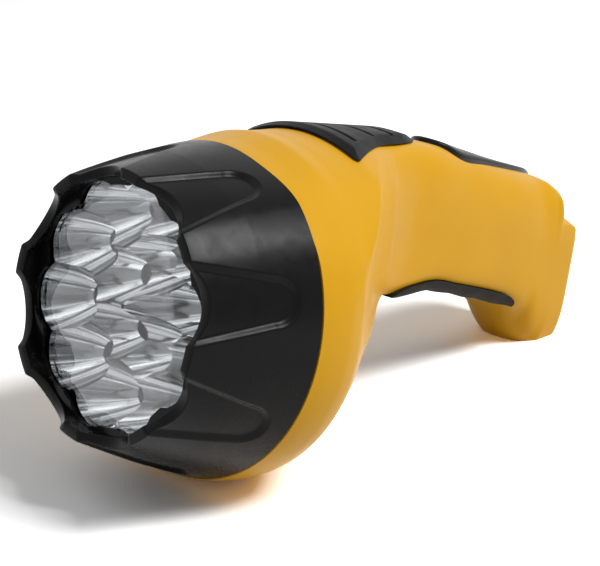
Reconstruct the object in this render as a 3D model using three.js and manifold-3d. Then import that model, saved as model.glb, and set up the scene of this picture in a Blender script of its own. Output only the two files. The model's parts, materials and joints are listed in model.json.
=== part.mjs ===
// Rechargeable hand torch with fifteen light-emitting diodes, built as separate pieces.
// Millimetres, +Z up. The torch shines toward -Y and stands on its bell and its foot at Z = 0.
// Pieces are drawn in the torch's own frame: Y runs back along the beam axis from the joint
// between bezel and housing, Z points to the switch and X to the right of the person holding it.

import * as THREE from 'three';
import { mergeVertices } from 'three/addons/utils/BufferGeometryUtils.js';
import Module from 'manifold-3d';

const wasm = await Module();
wasm.setup();

// Driving dimensions
const bodyLength = 159;
const bellRadius = 48.3;
const bellLength = 70;
const wall = 2.3;
const foot = { inset: 11, depthShare: 0.29328 };

// Fits shared by every piece
const clearance = 0.3;
const seam = 0.1;
const overrun = 1;
const farOut = 200;
const switchTravel = 4;

// How finely round shapes are divided
const roundSides = 40;
const discSides = 32;
const holeSides = 12;
const bossSides = 12;
const notchSides = 14;
const wireSides = 6;
const cornerSteps = 5;
const outlineSteps = 12;
const stripSteps = 24;
const weldDistance = 0.0001;
const facetTolerance = 0.08;
const halvings = 40;

// Housing outline: each pair is a share of the length and a share of the bell's radius
const bellRadiusShares = [
  [0, 0.98], [0.06, 0.995], [0.13, 1], [0.2, 0.985], [0.29, 0.91], [0.4, 0.79],
  [0.51, 0.67], [0.66, 0.52], [0.83, 0.32], [0.92, 0.19], [1, 0.08],
];
const bellRiseShares = [[0, 0], [0.6, 0], [0.75, 0.06], [0.83, 0.125], [0.92, 0.19], [1, 0.25]];
const topShares = [
  [0, 0.93], [0.032, 0.95], [0.054, 0.975], [0.07, 1.02], [0.089, 1.027], [0.481, 1.027],
  [0.532, 1.018], [0.633, 0.97], [0.747, 0.917], [0.848, 0.868], [0.886, 0.84], [0.918, 0.8],
  [0.937, 0.74], [0.948, 0.66], [0.953, 0.58], [0.956, 0.52], [0.985, 0.51], [0.995, 0.497],
  [1, 0.47],
];
const roofEndKnot = 5;
const bottomShares = [
  [0, 0.083], [0.38, 0.083], [0.42, 0.075], [0.46, 0.087], [0.54, 0.112], [0.61, 0.085],
  [0.73, 0.033], [0.823, -0.025], [0.848, -0.09], [0.873, -0.2], [0.892, -0.31], [0.905, -0.42],
  [1, -0.42],
];
const halfWidthShares = [
  [0, 0.62], [0.09, 0.6], [0.127, 0.56], [0.177, 0.51], [0.228, 0.46], [0.29, 0.405],
  [0.367, 0.355], [0.43, 0.33], [0.506, 0.312], [0.7, 0.31], [0.9, 0.31], [0.99, 0.31], [1, 0.295],
];
const centreShares = [
  [0, 0.29], [0.44, 0.29], [0.53, 0.41], [0.76, 0.41], [0.85, 0.29], [0.9, 0.12], [1, 0.1],
];
// How square each section is above and below its centre, as a superellipse power
const upperPowerShares = [[0, 6], [0.44, 6], [0.55, 2.9], [0.9, 2.9], [0.953, 6], [1, 6]];
const lowerPowerShares = [[0, 5], [0.82, 5], [0.88, 2.6], [1, 2.6]];
const blendRadius = 5;
const outerSides = 32;
const innerSides = 20;
const stationShares = [
  0, 0.03, 0.054, 0.07, 0.089, 0.127, 0.177, 0.228, 0.29, 0.33, 0.367, 0.4, 0.46, 0.506,
  0.56, 0.62, 0.69, 0.76, 0.823, 0.84, 0.857, 0.873, 0.892, 0.905, 0.921, 0.937, 0.948, 0.953,
  0.957, 0.985, 0.995, 1,
];
const cavityShares = [
  0.028, 0.09, 0.14, 0.21, 0.3, 0.38, 0.42, 0.46, 0.54, 0.69, 0.82, 0.87, 0.9, 0.93, 0.985,
];

// Bezel: a cone in two steps from the housing down to the rim, with a wall and a ledge
const bezel = {
  step: 0.3, taper: 4.9, length: 32.7, middleShare: 0.48, rimTaper: 6, rimWall: 2.8,
  ledgeDepth: 5.8, ledgeThickness: 1, ledgeReach: 4.3, wall: 6.3, reliefWall: 2.2,
  reliefWidth: 2, reliefDepth: 4.5, edge: 0.6,
};
const flute = {
  count: 8, turn: THREE.MathUtils.degToRad(-14.5), rimWidthShare: 0.677, rearWidthShare: 0.314,
  rearMargin: 6.3, depth: 1.2,
};
const notch = { widthShare: 0.974, depth: 4.2 };

// Housing front: spigot that carries the bezel, and the ledge behind the diode board
const spigot = { wall: 2.8, length: 9.6, root: 2 };
const boardLedge = { reach: 3.1, front: 1.3 };

// Lens, seal and reflector
const lens = { lap: 2.2, thickness: 1.4 };
const seal = { margin: 0.2, thickness: 0.6 };
const reflector = { frontMargin: 0.9, rearMargin: 0.8, plate: 1.4, skirtWall: 1.5 };
const cup = {
  depth: 16, rimMargin: 0.5, wall: 1.4, holeRadius: 3.2, neck: 3.4, margin: 0.9, sides: 10,
  coatSides: 8,
};
const cupDepthShares = [0.1, 0.38, 1];
const cupRings = [
  { count: 5, radiusShare: 0.312, turn: THREE.MathUtils.degToRad(8) },
  { count: 10, radiusShare: 0.691, turn: THREE.MathUtils.degToRad(8) },
];

// Diode board and diodes
const ledBoard = { margin: 0.1, thickness: 1.6 };
const diode = {
  radius: 2.5, flangeRadius: 2.9, flange: 1, length: 8.6, sides: 6, domeSteps: 2,
};

// Switch: cover, stem and lever slide together over the roof of the housing
const cover = {
  length: 47.8, overhang: 0.5, rearSlope: 11, halfWidth: 22.6, frontThickness: 1.2,
  crownThickness: 2.3, rearThickness: 0.9,
};
const coverSideShares = [
  [0.5, 0.003], [0.9, 0.02], [0.985, 0.035], [1, 0.06], [0.915, 0.135], [0.76, 0.27], [0.6, 0.435],
  [0.515, 0.58], [0.45, 0.72], [0.37, 0.85], [0.25, 0.95], [0.12, 0.993],
];
const grip = {
  grooves: 3, halfLength: 0.9, depth: 0.8, firstShare: 0.163, spacingShare: 0.22, reachShare: 0.74,
};
const stem = {
  setback: 20, halfWidth: 2.5, halfLength: 4, footHalfWidth: 5.2, footHalfLength: 5.5,
  roofGap: 0.8, footThickness: 1.7, tabDepth: 0.9, tabLength: 1.4,
};
const lever = { halfWidth: 1.2, halfLength: 1.5, height: 3.1 };
const switchBody = { halfWidth: 4.5, frontLength: 9.7, rearLength: 9, height: 7.1 };
const cradle = { margin: 2.5, rib: 1.6 };

// Pad on top of the handle and finger strip under it
const pad = { proud: 1.4, seat: 0.9, gap: 7, setback: 13.5 };
const padHalfWidth = 10.5;
const padOutlineShares = [
  [0.03, 0.46], [0.09, 0.8], [0.21, 0.98], [0.34, 1], [0.5, 0.9], [0.68, 0.7], [0.87, 0.38],
];
const strip = { lap: 4.4, rearShare: 0.823, depth: 3.3, proud: 0.35, waves: 4, waveHeight: 0.45 };

// Battery and its terminals; the gaps are those between it, the wall and its neighbours
const battery = { frontGap: 18, rearGap: 13, sideGap: 2.2, bottomGap: 1.3, topGap: 5.5 };
const bulkhead = { reach: 3.2, grip: 2.6, windowSide: 3.3, windowBottom: 2.8, windowTop: 3 };
const wireNotch = { halfWidth: 3.8, rise: 4.4 };
const terminal = { inset: 5.5, halfWidth: 1.8, length: 3.3, drop: 6, thickness: 0.8 };

// Charging parts in the tail block
const inlet = {
  drop: 8.6, halfHeight: 4.8, length: 11.6, recessDepth: 7, recessWall: 1.8,
  sideGap: 2.75, collar: 1.2, collarThickness: 2, sink: 0.4,
};
const pin = { radius: 1.15, inset: 3.1, length: 10.6, sides: 12 };
const indicator = { radius: 1.5, drop: 2.8, length: 6, flangeRadius: 2, flange: 1, sides: 12 };
const chargeBoard = { sideGap: 1.7, gap: 4, thickness: 1.6, below: 10, above: 12 };
const boardRail = { lap: 1.2, width: 6.2, reach: 2.2, below: 3, above: 5 };
const capacitor = { halfWidth: 4, length: 5.2, rise: 10.5, height: 8, offset: -3.2 };
const rectifier = { halfWidth: 1.9, length: 2.6, rise: 10, height: 5, offset: 4.6 };

// Housing screws, driven from the left side
const screw = {
  shankRadius: 1.2, headRadius: 2.7, head: 2, seat: 6, tip: 8, bossRadius: 4.6, sides: 12,
  alongShare: 0.314, downShare: 0.621, frontGap: 10, lowerRise: 0.8, upperRise: 4,
  rearInset: 18, rearDrop: 3, footRise: 7.2,
};

// Wires: each route point is an anchor and a way from it across, along and above the beam axis
const wireRadius = 0.8;
const wireStep = 8;
const wireRoutes = {
  switch_feed_wire: [
    ['tab', 6.1, -0.8, 0], ['tab', 8.2, -4.4, -0.4], ['switch', 9, 11, -3.5],
    ['switch', 8.6, 3, 2.5], ['switch', 6, 0.5, 3.9],
  ],
  switch_lamp_wire: [
    ['switch', -6, 0.5, 3.9], ['switch', -10, -7, 1.5], ['bell', -12, 0, 5.8],
    ['lamp', -9, 9, 8], ['lamp', -6, 0.9, 6],
  ],
  lamp_return_wire: [
    ['tab', -6.1, -0.8, 0], ['tab', -8, -10.4, -1.4], ['bell', -5, 15, -4.2],
    ['lamp', 4, 11, -4], ['lamp', 6, 0.9, -6],
  ],
  charge_feed_wire: [
    ['board', 3, -0.4, -2.6], ['board', 2.6, -8, 3], ['cellRear', 1.6, 3.4, -0.6],
    ['cellRear', 1.4, -1, 2], ['cellMiddle', 1.4, -1, 1.6], ['cellFront', 1.6, 0, 2],
    ['cellFront', 2.8, -5, 0.4], ['tab', 4, -0.9, 0],
  ],
  charge_return_wire: [
    ['board', -3, -0.4, -2.6], ['board', -2.6, -8, 3], ['cellRear', -1.6, 3.4, -0.6],
    ['cellRear', -1.4, -1, 2], ['cellMiddle', -1.4, -1, 1.6], ['cellFront', -1.6, 0, 2],
    ['cellFront', -2.8, -5, 0.4], ['tab', -4, -0.9, 0],
  ],
};

// Finishes
const finishes = {
  yellowPlastic: { color: 0xf3b32c, roughness: 0.42, metalness: 0 },
  blackPlastic: { color: 0x17181a, roughness: 0.32, metalness: 0 },
  blackRubber: { color: 0x2b2a29, roughness: 0.75, metalness: 0 },
  clearPlastic: { color: 0xf2f6f8, roughness: 0.05, metalness: 0 },
  mirrorCoat: { color: 0xdfe2e4, roughness: 0.08, metalness: 1 },
  boardGreen: { color: 0x1f6b3a, roughness: 0.55, metalness: 0 },
  diodeEpoxy: { color: 0xe6eaec, roughness: 0.1, metalness: 0 },
  steel: { color: 0xb9bcc0, roughness: 0.35, metalness: 1 },
  batteryCase: { color: 0x30343a, roughness: 0.5, metalness: 0 },
  componentRed: { color: 0xa8352c, roughness: 0.4, metalness: 0 },
  wireRed: { color: 0xb3201c, roughness: 0.5, metalness: 0 },
  wireBlack: { color: 0x1c1c1e, roughness: 0.5, metalness: 0 },
};

const meshes = [];

// Turns a closed geometry into a solid, after an optional placing matrix
function toSolid(geometry, placing = new THREE.Matrix4()) {
  const bare = geometry.clone().applyMatrix4(placing);
  bare.deleteAttribute('normal');
  bare.deleteAttribute('uv');
  const merged = mergeVertices(bare, weldDistance);
  const vertProperties = new Float32Array(merged.attributes.position.array);
  const triVerts = new Uint32Array(merged.index.array);
  return new wasm.Manifold(new wasm.Mesh({ numProp: 3, vertProperties, triVerts }));
}

// Adds one named mesh to the torch
function addPiece(name, solid, finish) {
  const mesh = solid.simplify(facetTolerance).getMesh();
  const geometry = new THREE.BufferGeometry();
  geometry.setAttribute('position', new THREE.BufferAttribute(mesh.vertProperties, 3));
  geometry.setIndex(new THREE.BufferAttribute(mesh.triVerts, 1));
  geometry.computeVertexNormals();
  const piece = new THREE.Mesh(geometry, new THREE.MeshStandardMaterial(finish));
  piece.name = name;
  meshes.push(piece);
}

// Block between two corners
function block(fromX, toX, fromY, toY, fromZ, toZ) {
  const geometry = new THREE.BoxGeometry(toX - fromX, toY - fromY, toZ - fromZ);
  const middle = new THREE.Vector3(fromX + toX, fromY + toY, fromZ + toZ).divideScalar(2);
  return toSolid(geometry, new THREE.Matrix4().setPosition(middle));
}

// Body turned about the beam axis from a profile of [radius, place] points
function turned(points, sides = roundSides) {
  const profile = points.map(([radius, place]) => new THREE.Vector2(radius, place));
  if (THREE.ShapeUtils.area(profile) < 0) {
    profile.reverse();
  }
  const start = profile[0];
  const end = profile[profile.length - 1];
  const onAxis = start.x === 0 && end.x === 0;
  if (!onAxis) {
    profile.push(start.clone());
  }
  return toSolid(new THREE.LatheGeometry(profile, sides));
}

// Disc or ring between two places on the beam axis
function ring(innerRadius, outerRadius, from, to, sides = roundSides) {
  if (innerRadius === 0) {
    return turned([[0, from], [outerRadius, from], [outerRadius, to], [0, to]], sides);
  }
  const corners = [[innerRadius, from], [outerRadius, from], [outerRadius, to], [innerRadius, to]];
  return turned(corners, sides);
}

// Upright prism from an outline seen from above the torch
function prism(points, bottom, top) {
  const shape = new THREE.Shape(points.map(([x, y]) => new THREE.Vector2(x, y)));
  const geometry = new THREE.ExtrudeGeometry(shape, { depth: top - bottom, bevelEnabled: false });
  return toSolid(geometry, new THREE.Matrix4().makeTranslation(0, 0, bottom));
}

// Round bar along X
function crossBar(radius, fromX, toX, y, z, sides) {
  const geometry = new THREE.CylinderGeometry(radius, radius, toX - fromX, sides);
  const placing = new THREE.Matrix4().makeRotationZ(Math.PI / 2);
  placing.setPosition((fromX + toX) / 2, y, z);
  return toSolid(geometry, placing);
}

// The same solid turned about the beam axis
function spun(solid, turn) {
  return solid.rotate([0, THREE.MathUtils.radToDeg(turn), 0]);
}

// Smooth curve through pairs of shares that never overshoots them
function follow(shares, length, size) {
  const places = shares.map((pair) => pair[0] * length);
  const values = shares.map((pair) => pair[1] * size);
  const slopes = places.slice(1).map((place, i) => (values[i + 1] - values[i]) / (place - places[i]));
  const tangents = places.map((_, i) => {
    const before = slopes[Math.max(i - 1, 0)];
    const after = slopes[Math.min(i, slopes.length - 1)];
    if (before * after <= 0) {
      return 0;
    }
    return (2 * before * after) / (before + after);
  });
  return (place) => {
    const inside = Math.min(Math.max(place, places[0]), places[places.length - 1]);
    let i = 0;
    while (i < slopes.length - 1 && inside > places[i + 1]) {
      i += 1;
    }
    const span = places[i + 1] - places[i];
    const t = (inside - places[i]) / span;
    const rise = t * t * (3 - 2 * t);
    const bendIn = t * (1 - t) * (1 - t);
    const bendOut = t * t * (t - 1);
    const level = values[i] * (1 - rise) + values[i + 1] * rise;
    return level + span * (tangents[i] * bendIn + tangents[i + 1] * bendOut);
  };
}

const bellRadiusAt = follow(bellRadiusShares, bellLength, bellRadius);
const bellRiseAt = follow(bellRiseShares, bellLength, bellRadius);
const topAt = follow(topShares, bodyLength, bellRadius);
const bottomAt = follow(bottomShares, bodyLength, bellRadius);
const halfWidthAt = follow(halfWidthShares, bodyLength, bellRadius);
const centreAt = follow(centreShares, bodyLength, bellRadius);
const upperPowerAt = follow(upperPowerShares, bodyLength, 1);
const lowerPowerAt = follow(lowerPowerShares, bodyLength, 1);

// Radii of the head, from the housing inward
const bezelRearRadius = bellRadiusAt(0) - bezel.step;
const bezelMiddleRadius = bezelRearRadius - bezel.taper;
const bezelRimRadius = bezelMiddleRadius - bezel.rimTaper;
const openingRadius = bezelRimRadius - bezel.rimWall;
const ledgeRadius = openingRadius - bezel.ledgeReach;
const spigotOuterRadius = bezelRearRadius - bezel.wall - clearance;
const spigotInnerRadius = spigotOuterRadius - spigot.wall;
const boardLedgeRadius = spigotInnerRadius - boardLedge.reach;
const ledBoardRadius = spigotInnerRadius - ledBoard.margin - clearance;
const lensRadius = openingRadius + lens.lap;
const reflectorFrontRadius = lensRadius - reflector.frontMargin;
const reflectorRearRadius = spigotOuterRadius - reflector.rearMargin;
const cupRingRadii = cupRings.map((row) => row.radiusShare * reflectorFrontRadius);
const cupMouthRadius = reflectorFrontRadius - Math.max(...cupRingRadii) - cup.rimMargin;
const cupFocus = (cupMouthRadius * cupMouthRadius) / (4 * cup.depth);
const rimPitch = (2 * Math.PI * bezelRimRadius) / flute.count;
const rearPitch = (2 * Math.PI * bezelRearRadius) / flute.count;
const fluteRimHalfWidth = (flute.rimWidthShare * rimPitch) / 2;
const fluteRearHalfWidth = (flute.rearWidthShare * rearPitch) / 2;
const notchRadius = (notch.widthShare * rimPitch) / 2;

// Places of the head's layers along the beam axis, from front to back
const bezelRim = -clearance - bezel.length;
const bezelMiddle = -clearance - bezel.middleShare * bezel.length;
const ledgeRear = bezelRim + bezel.ledgeDepth;
const spigotFront = -spigot.length;
const sealFront = ledgeRear + clearance;
const lensFront = sealFront + seal.thickness + clearance;
const reflectorFront = lensFront + lens.thickness + clearance;
const cupVertex = reflectorFront + cup.depth;
const ledBoardFront = boardLedge.front - clearance - ledBoard.thickness;

// Switch: the cover ends where the flat roof ends, and the rest hangs from its stem
const roofEndShare = topShares[roofEndKnot][0];
const coverRear = roofEndShare * bodyLength + cover.overhang;
const coverFront = coverRear - cover.length;
const coverCrown = coverRear - cover.rearSlope;
const stemCentre = coverRear - stem.setback;
const roof = topAt(stemCentre);
const coverInner = roof + clearance;
const coverProfile = [
  [coverInner + cover.frontThickness, coverFront],
  [coverInner + cover.crownThickness, coverCrown],
  [coverInner + cover.rearThickness, coverRear],
];
const footTop = roof - wall - stem.roofGap;
const footBottom = footTop - stem.footThickness;
const switchFront = stemCentre - switchBody.frontLength;
const switchRear = stemCentre + switchBody.rearLength;
const switchTop = footBottom - stem.tabDepth - clearance;
const switchBottom = switchTop - switchBody.height;

// Tail: indicator, inlet and charging board follow the rear deck
const indicatorHeight = topAt(bodyLength) - wall - indicator.drop;
const inletHeight = indicatorHeight - inlet.drop;
const inletRear = bodyLength - inlet.sink;
const inletFront = inletRear - inlet.length;
const inletHalfWidth = halfWidthAt(bodyLength) - wall - inlet.sideGap;
const recessHalfWidth = inletHalfWidth - inlet.recessWall;
const recessHalfHeight = inlet.halfHeight - inlet.recessWall;
const pinPlace = recessHalfWidth - pin.inset;
const boardFront = inletFront - chargeBoard.gap;
const boardHalfWidth = halfWidthAt(boardFront) - wall - chargeBoard.sideGap;
const boardBottom = inletHeight - chargeBoard.below;
const boardTop = inletHeight + chargeBoard.above;

// Battery between the switch and the charging board
const batteryFront = switchRear + battery.frontGap;
const batteryRear = boardFront - battery.rearGap;
const batteryHalfWidth = halfWidthAt(batteryRear) - wall - battery.sideGap;
const batteryBottom = bottomAt(batteryFront) + strip.depth + wall + battery.bottomGap;
const batteryTop = topAt(batteryRear) - wall - pad.seat - battery.topGap;
const windowTop = batteryTop - bulkhead.windowTop;

// Grips along the handle
const padFront = coverRear + pad.gap;
const padRear = bodyLength - pad.setback;
const stripFront = bellLength - strip.lap;
const stripRear = strip.rearShare * bodyLength;

// Battery terminals, and the anchors of the wires' routes
const terminalPlace = batteryHalfWidth - terminal.inset;
const terminalRear = batteryFront - clearance;
const terminalFront = terminalRear - terminal.length;
const terminalBottom = batteryTop - terminal.drop;
const wireAnchors = {
  tab: [0, terminalFront, terminalBottom + terminal.thickness / 2],
  switch: [0, stemCentre, switchBottom],
  bell: [0, (terminalFront + stemCentre) / 4, (terminalBottom + terminal.thickness) / 2],
  lamp: [0, ledBoardFront + ledBoard.thickness, 0],
  cellFront: [0, batteryFront, batteryTop],
  cellMiddle: [0, (batteryFront + batteryRear) / 2, batteryTop],
  cellRear: [0, batteryRear, batteryTop],
  board: [0, boardFront, boardTop],
};

// Screws: one in the bell, two before the battery, and two in the tail
const screwPlaces = [
  [screw.alongShare * bellLength, -screw.downShare * bellRadius],
  [batteryFront - screw.frontGap, batteryBottom + screw.lowerRise],
  [batteryFront - screw.frontGap, batteryTop + screw.upperRise],
  [bodyLength - screw.rearInset, batteryTop - screw.rearDrop],
  [bodyLength - foot.inset, screw.footRise - foot.depthShare * bellRadius],
];

// Half width of the switch cover at a place along the torch
function coverHalfWidthAt(y) {
  const places = coverSideShares.map(([across, along]) => [along, across]);
  return follow(places, cover.length, cover.halfWidth)(y - coverFront);
}

// Distance from a centre to a circle around another point straight above or below it
function reachToCircle(offset, radius, angle) {
  const across = offset * Math.cos(angle);
  return offset * Math.sin(angle) + Math.sqrt(Math.max(radius * radius - across * across, 0));
}

// Sizes of one section, drawn in by an inset; a real inset also looks ahead and behind,
// so that the wall keeps its thickness at steep places
function sectionSizes(y, inset, floor) {
  const around = inset > 0 ? [y - inset, y, y + inset] : [y];
  return {
    bell: Math.min(...around.map(bellRadiusAt)) - inset,
    rise: bellRiseAt(y),
    top: Math.min(...around.map(topAt)) - inset,
    bottom: Math.max(...around.map(bottomAt)) + inset + floor,
    halfWidth: Math.min(...around.map(halfWidthAt)) - inset,
    centre: centreAt(y),
  };
}

// Reach of the housing's surface from a section's centre: the round bell and the squarer
// handle, joined by a soft blend
function sectionReach(y, angle, inset, floor) {
  const size = sectionSizes(y, inset, floor);
  const upper = Math.sin(angle) >= 0;
  const power = upper ? upperPowerAt(y) : lowerPowerAt(y);
  const height = upper ? size.top - size.centre : size.centre - size.bottom;
  const acrossTerm = Math.abs(Math.cos(angle) / size.halfWidth) ** power;
  const upTerm = Math.abs(Math.sin(angle) / height) ** power;
  const square = (acrossTerm + upTerm) ** (-1 / power);
  const handle = Math.min(square, reachToCircle(-size.centre, size.top, angle));
  if (y > bellLength) {
    return handle;
  }
  const bell = reachToCircle(size.rise - size.centre, size.bell, angle);
  const near = Math.max(blendRadius - Math.abs(bell - handle), 0);
  return Math.max(bell, handle) + (near * near) / (4 * blendRadius);
}

// Closed body lofted through sections of the housing
function loftedHousing(shares, sides, inset, floor = 0) {
  const positions = [];
  const triangles = [];
  const places = shares.map((share) => share * bodyLength);
  places.forEach((y) => {
    const centre = centreAt(y);
    for (let k = 0; k < sides; k += 1) {
      const angle = (2 * Math.PI * k) / sides;
      const reach = sectionReach(y, angle, inset, floor);
      positions.push(reach * Math.cos(angle), y, centre + reach * Math.sin(angle));
    }
  });
  const frontHub = positions.length / 3;
  positions.push(0, places[0], centreAt(places[0]));
  const rearHub = frontHub + 1;
  positions.push(0, places[places.length - 1], centreAt(places[places.length - 1]));
  const lastRing = (places.length - 1) * sides;
  for (let k = 0; k < sides; k += 1) {
    const next = (k + 1) % sides;
    triangles.push(frontHub, k, next);
    triangles.push(rearHub, lastRing + next, lastRing + k);
    for (let row = 0; row < lastRing; row += sides) {
      triangles.push(row + k, row + sides + k, row + sides + next);
      triangles.push(row + k, row + sides + next, row + next);
    }
  }
  const geometry = new THREE.BufferGeometry();
  geometry.setAttribute('position', new THREE.Float32BufferAttribute(positions, 3));
  geometry.setIndex(triangles);
  return toSolid(geometry);
}

// Drop of the bell's lowest point below the beam axis's height at the joint, for a tilt
function bellDrop(angle) {
  const places = stationShares.map((share) => share * bodyLength);
  const bellPlaces = places.filter((y) => y <= bellLength);
  return Math.max(...bellPlaces.map((y) => y * Math.sin(angle) + bellRadiusAt(y) * Math.cos(angle)));
}

// Tilt at which the bell and the foot stand on the same ground, found by halving
function standingTilt() {
  const place = bodyLength - foot.inset;
  const depth = foot.depthShare * bellRadius;
  let low = 0;
  let high = Math.PI / 4;
  for (let i = 0; i < halvings; i += 1) {
    const middle = (low + high) / 2;
    const footDrop = place * Math.sin(middle) + depth * Math.cos(middle);
    if (bellDrop(middle) > footDrop) {
      low = middle;
    } else {
      high = middle;
    }
  }
  return (low + high) / 2;
}

const tilt = standingTilt();
const axisHeight = bellDrop(tilt);
const standing = new THREE.Matrix4().makeRotationX(-tilt);
standing.setPosition(0, 0, axisHeight);

// Everything below a level above the ground, in the torch's frame
function below(level) {
  const ground = new THREE.BoxGeometry(farOut, 2 * farOut, farOut);
  ground.translate(0, 0, level - farOut / 2);
  return toSolid(ground, standing.clone().invert());
}

// Outline of the switch cover
function coverOutline() {
  const knots = coverSideShares.map(([across, along]) => {
    const y = coverFront + along * cover.length;
    return new THREE.Vector2(across * cover.halfWidth, y);
  });
  const rear = new THREE.Vector2(0, coverRear);
  const curve = new THREE.SplineCurve([...knots, rear]);
  const points = curve.getPoints(outlineSteps);
  points[points.length - 1].copy(rear);
  return mirrored([new THREE.Vector2(0, coverFront), ...points]);
}

// Full outline from the points of its right side
function mirrored(points) {
  const inner = points.filter((point) => point.x > 0);
  const left = inner.map((point) => [-point.x, point.y]).reverse();
  const ends = [points[0], points[points.length - 1]].filter((point) => point.x === 0);
  const right = inner.map((point) => [point.x, point.y]);
  const [front, rear] = ends.map((point) => [0, point.y]);
  return [front, ...right, rear, ...left];
}

// Outline of the pad, grown by a margin
function padOutline(margin) {
  const length = padRear - padFront;
  const middle = (padRear + padFront) / 2;
  const grow = (length / 2 + margin) / (length / 2);
  const knots = padOutlineShares.map(([along, across]) => {
    const y = middle + (padFront + along * length - middle) * grow;
    return new THREE.Vector2(across * padHalfWidth + margin, y);
  });
  const front = new THREE.Vector2(0, padFront - margin);
  const rear = new THREE.Vector2(0, padRear + margin);
  const curve = new THREE.SplineCurve([front, ...knots, rear]);
  const points = curve.getPoints(outlineSteps);
  points[0].copy(front);
  points[points.length - 1].copy(rear);
  return mirrored(points);
}

// Side outline of the finger strip, grown by a margin; the lower edge waves for the fingers
function stripOutline(margin) {
  const lower = [];
  const upper = [];
  for (let i = 0; i <= stripSteps; i += 1) {
    const share = i / stripSteps;
    const y = stripFront - margin + share * (stripRear - stripFront + 2 * margin);
    const wave = strip.waveHeight * (1 - Math.cos(2 * Math.PI * strip.waves * share));
    const ends = Math.sqrt(1 - (2 * share - 1) ** 8);
    lower.push([y, bottomAt(y) - wave]);
    upper.push([y, bottomAt(y) + (strip.depth + margin) * ends]);
  }
  return { lower, upper };
}

// Bar across the torch from a side outline of [along, above] points
function sideBar(outline, halfWidth) {
  const shape = new THREE.Shape(outline.map(([y, z]) => new THREE.Vector2(y, z)));
  const depth = 2 * halfWidth;
  const geometry = new THREE.ExtrudeGeometry(shape, { depth, bevelEnabled: false });
  const placing = new THREE.Matrix4().makeBasis(
    new THREE.Vector3(0, 1, 0),
    new THREE.Vector3(0, 0, 1),
    new THREE.Vector3(1, 0, 0),
  );
  placing.setPosition(-halfWidth, 0, 0);
  return toSolid(geometry, placing);
}

// Places of the reflector's cups, which are the places of the diodes
function cupPlaces() {
  const places = [];
  cupRings.forEach(({ count, turn }, ringIndex) => {
    const radius = cupRingRadii[ringIndex];
    for (let k = 0; k < count; k += 1) {
      const angle = turn + (2 * Math.PI * k) / count;
      places.push([radius * Math.cos(angle), radius * Math.sin(angle)]);
    }
  });
  return places;
}

// Radius of a cup at a depth above its vertex
function cupReach(depth) {
  return Math.sqrt(4 * cupFocus * depth);
}

// Bezel
function makeBezel() {
  const boreRadius = spigotOuterRadius + clearance;
  const seatRadius = lensRadius + clearance;
  const reliefOuter = bezelRearRadius - bezel.reliefWall;
  const reliefInner = reliefOuter - bezel.reliefWidth;
  const ledgeFront = ledgeRear - bezel.ledgeThickness;
  const outside = [
    [bezelRimRadius - bezel.edge, bezelRim],
    [bezelRimRadius, bezelRim + bezel.edge],
    [bezelMiddleRadius, bezelMiddle],
    [bezelRearRadius, -clearance],
  ];
  const inside = [
    [reliefOuter, -clearance],
    [reliefOuter - bezel.edge, -bezel.reliefDepth],
    [reliefInner, -bezel.reliefDepth],
    [reliefInner, -clearance],
    [boreRadius, -clearance],
    [boreRadius, spigotFront],
    [seatRadius, reflectorFront],
    [seatRadius, ledgeRear],
    [ledgeRadius, ledgeRear],
    [ledgeRadius, ledgeFront],
    [openingRadius, ledgeFront],
    [openingRadius, bezelRim],
  ];
  let solid = turned([...outside, ...inside]);
  const skin = turned([
    [bezelRimRadius - flute.depth, bezelRim],
    [bezelMiddleRadius - flute.depth, bezelMiddle],
    [bezelRearRadius - flute.depth, 0],
    [bellRadius + overrun, 0],
    [bellRadius + overrun, bezelRim - overrun],
    [bezelRimRadius - flute.depth, bezelRim - overrun],
  ]);
  const arcCentre = -clearance - flute.rearMargin - fluteRearHalfWidth;
  const panel = new THREE.Shape();
  panel.moveTo(-fluteRimHalfWidth, bezelRim - overrun);
  panel.lineTo(fluteRimHalfWidth, bezelRim - overrun);
  panel.lineTo(fluteRearHalfWidth, arcCentre);
  panel.absarc(0, arcCentre, fluteRearHalfWidth, 0, Math.PI, false);
  const outline = panel.getPoints(cornerSteps).map((point) => [point.x, point.y]);
  const fluteCut = prism(outline, 0, bellRadius + overrun).intersect(skin);
  const notchGeometry = new THREE.CylinderGeometry(
    notchRadius,
    notchRadius,
    bellRadius,
    notchSides,
  );
  const notchPlacing = new THREE.Matrix4().makeRotationX(Math.PI / 2);
  notchPlacing.setPosition(0, bezelRim + notch.depth - notchRadius, bellRadius / 2 + notchRadius);
  const notchCut = toSolid(notchGeometry, notchPlacing);
  for (let k = 0; k < flute.count; k += 1) {
    const turn = flute.turn + (2 * Math.PI * k) / flute.count;
    solid = solid.subtract(spun(fluteCut, turn));
    solid = solid.subtract(spun(notchCut, turn));
  }
  const scallopRadius = cupMouthRadius - cup.margin;
  const scallop = ring(0, scallopRadius, ledgeFront - overrun, ledgeRear + overrun, notchSides);
  cupPlaces().forEach(([x, z]) => {
    solid = solid.subtract(scallop.translate([x, 0, z]));
  });
  addPiece('head_bezel', solid, finishes.blackPlastic);
}

// Lens and its seal
function makeLens() {
  const lensDisc = ring(0, lensRadius, lensFront, lensFront + lens.thickness, discSides);
  addPiece('front_lens', lensDisc, finishes.clearPlastic);
  const sealRear = sealFront + seal.thickness;
  const sealInner = openingRadius + seal.margin;
  const sealOuter = lensRadius - seal.margin;
  const sealRing = ring(sealInner, sealOuter, sealFront, sealRear, discSides);
  addPiece('lens_seal', sealRing, finishes.blackRubber);
}

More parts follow.
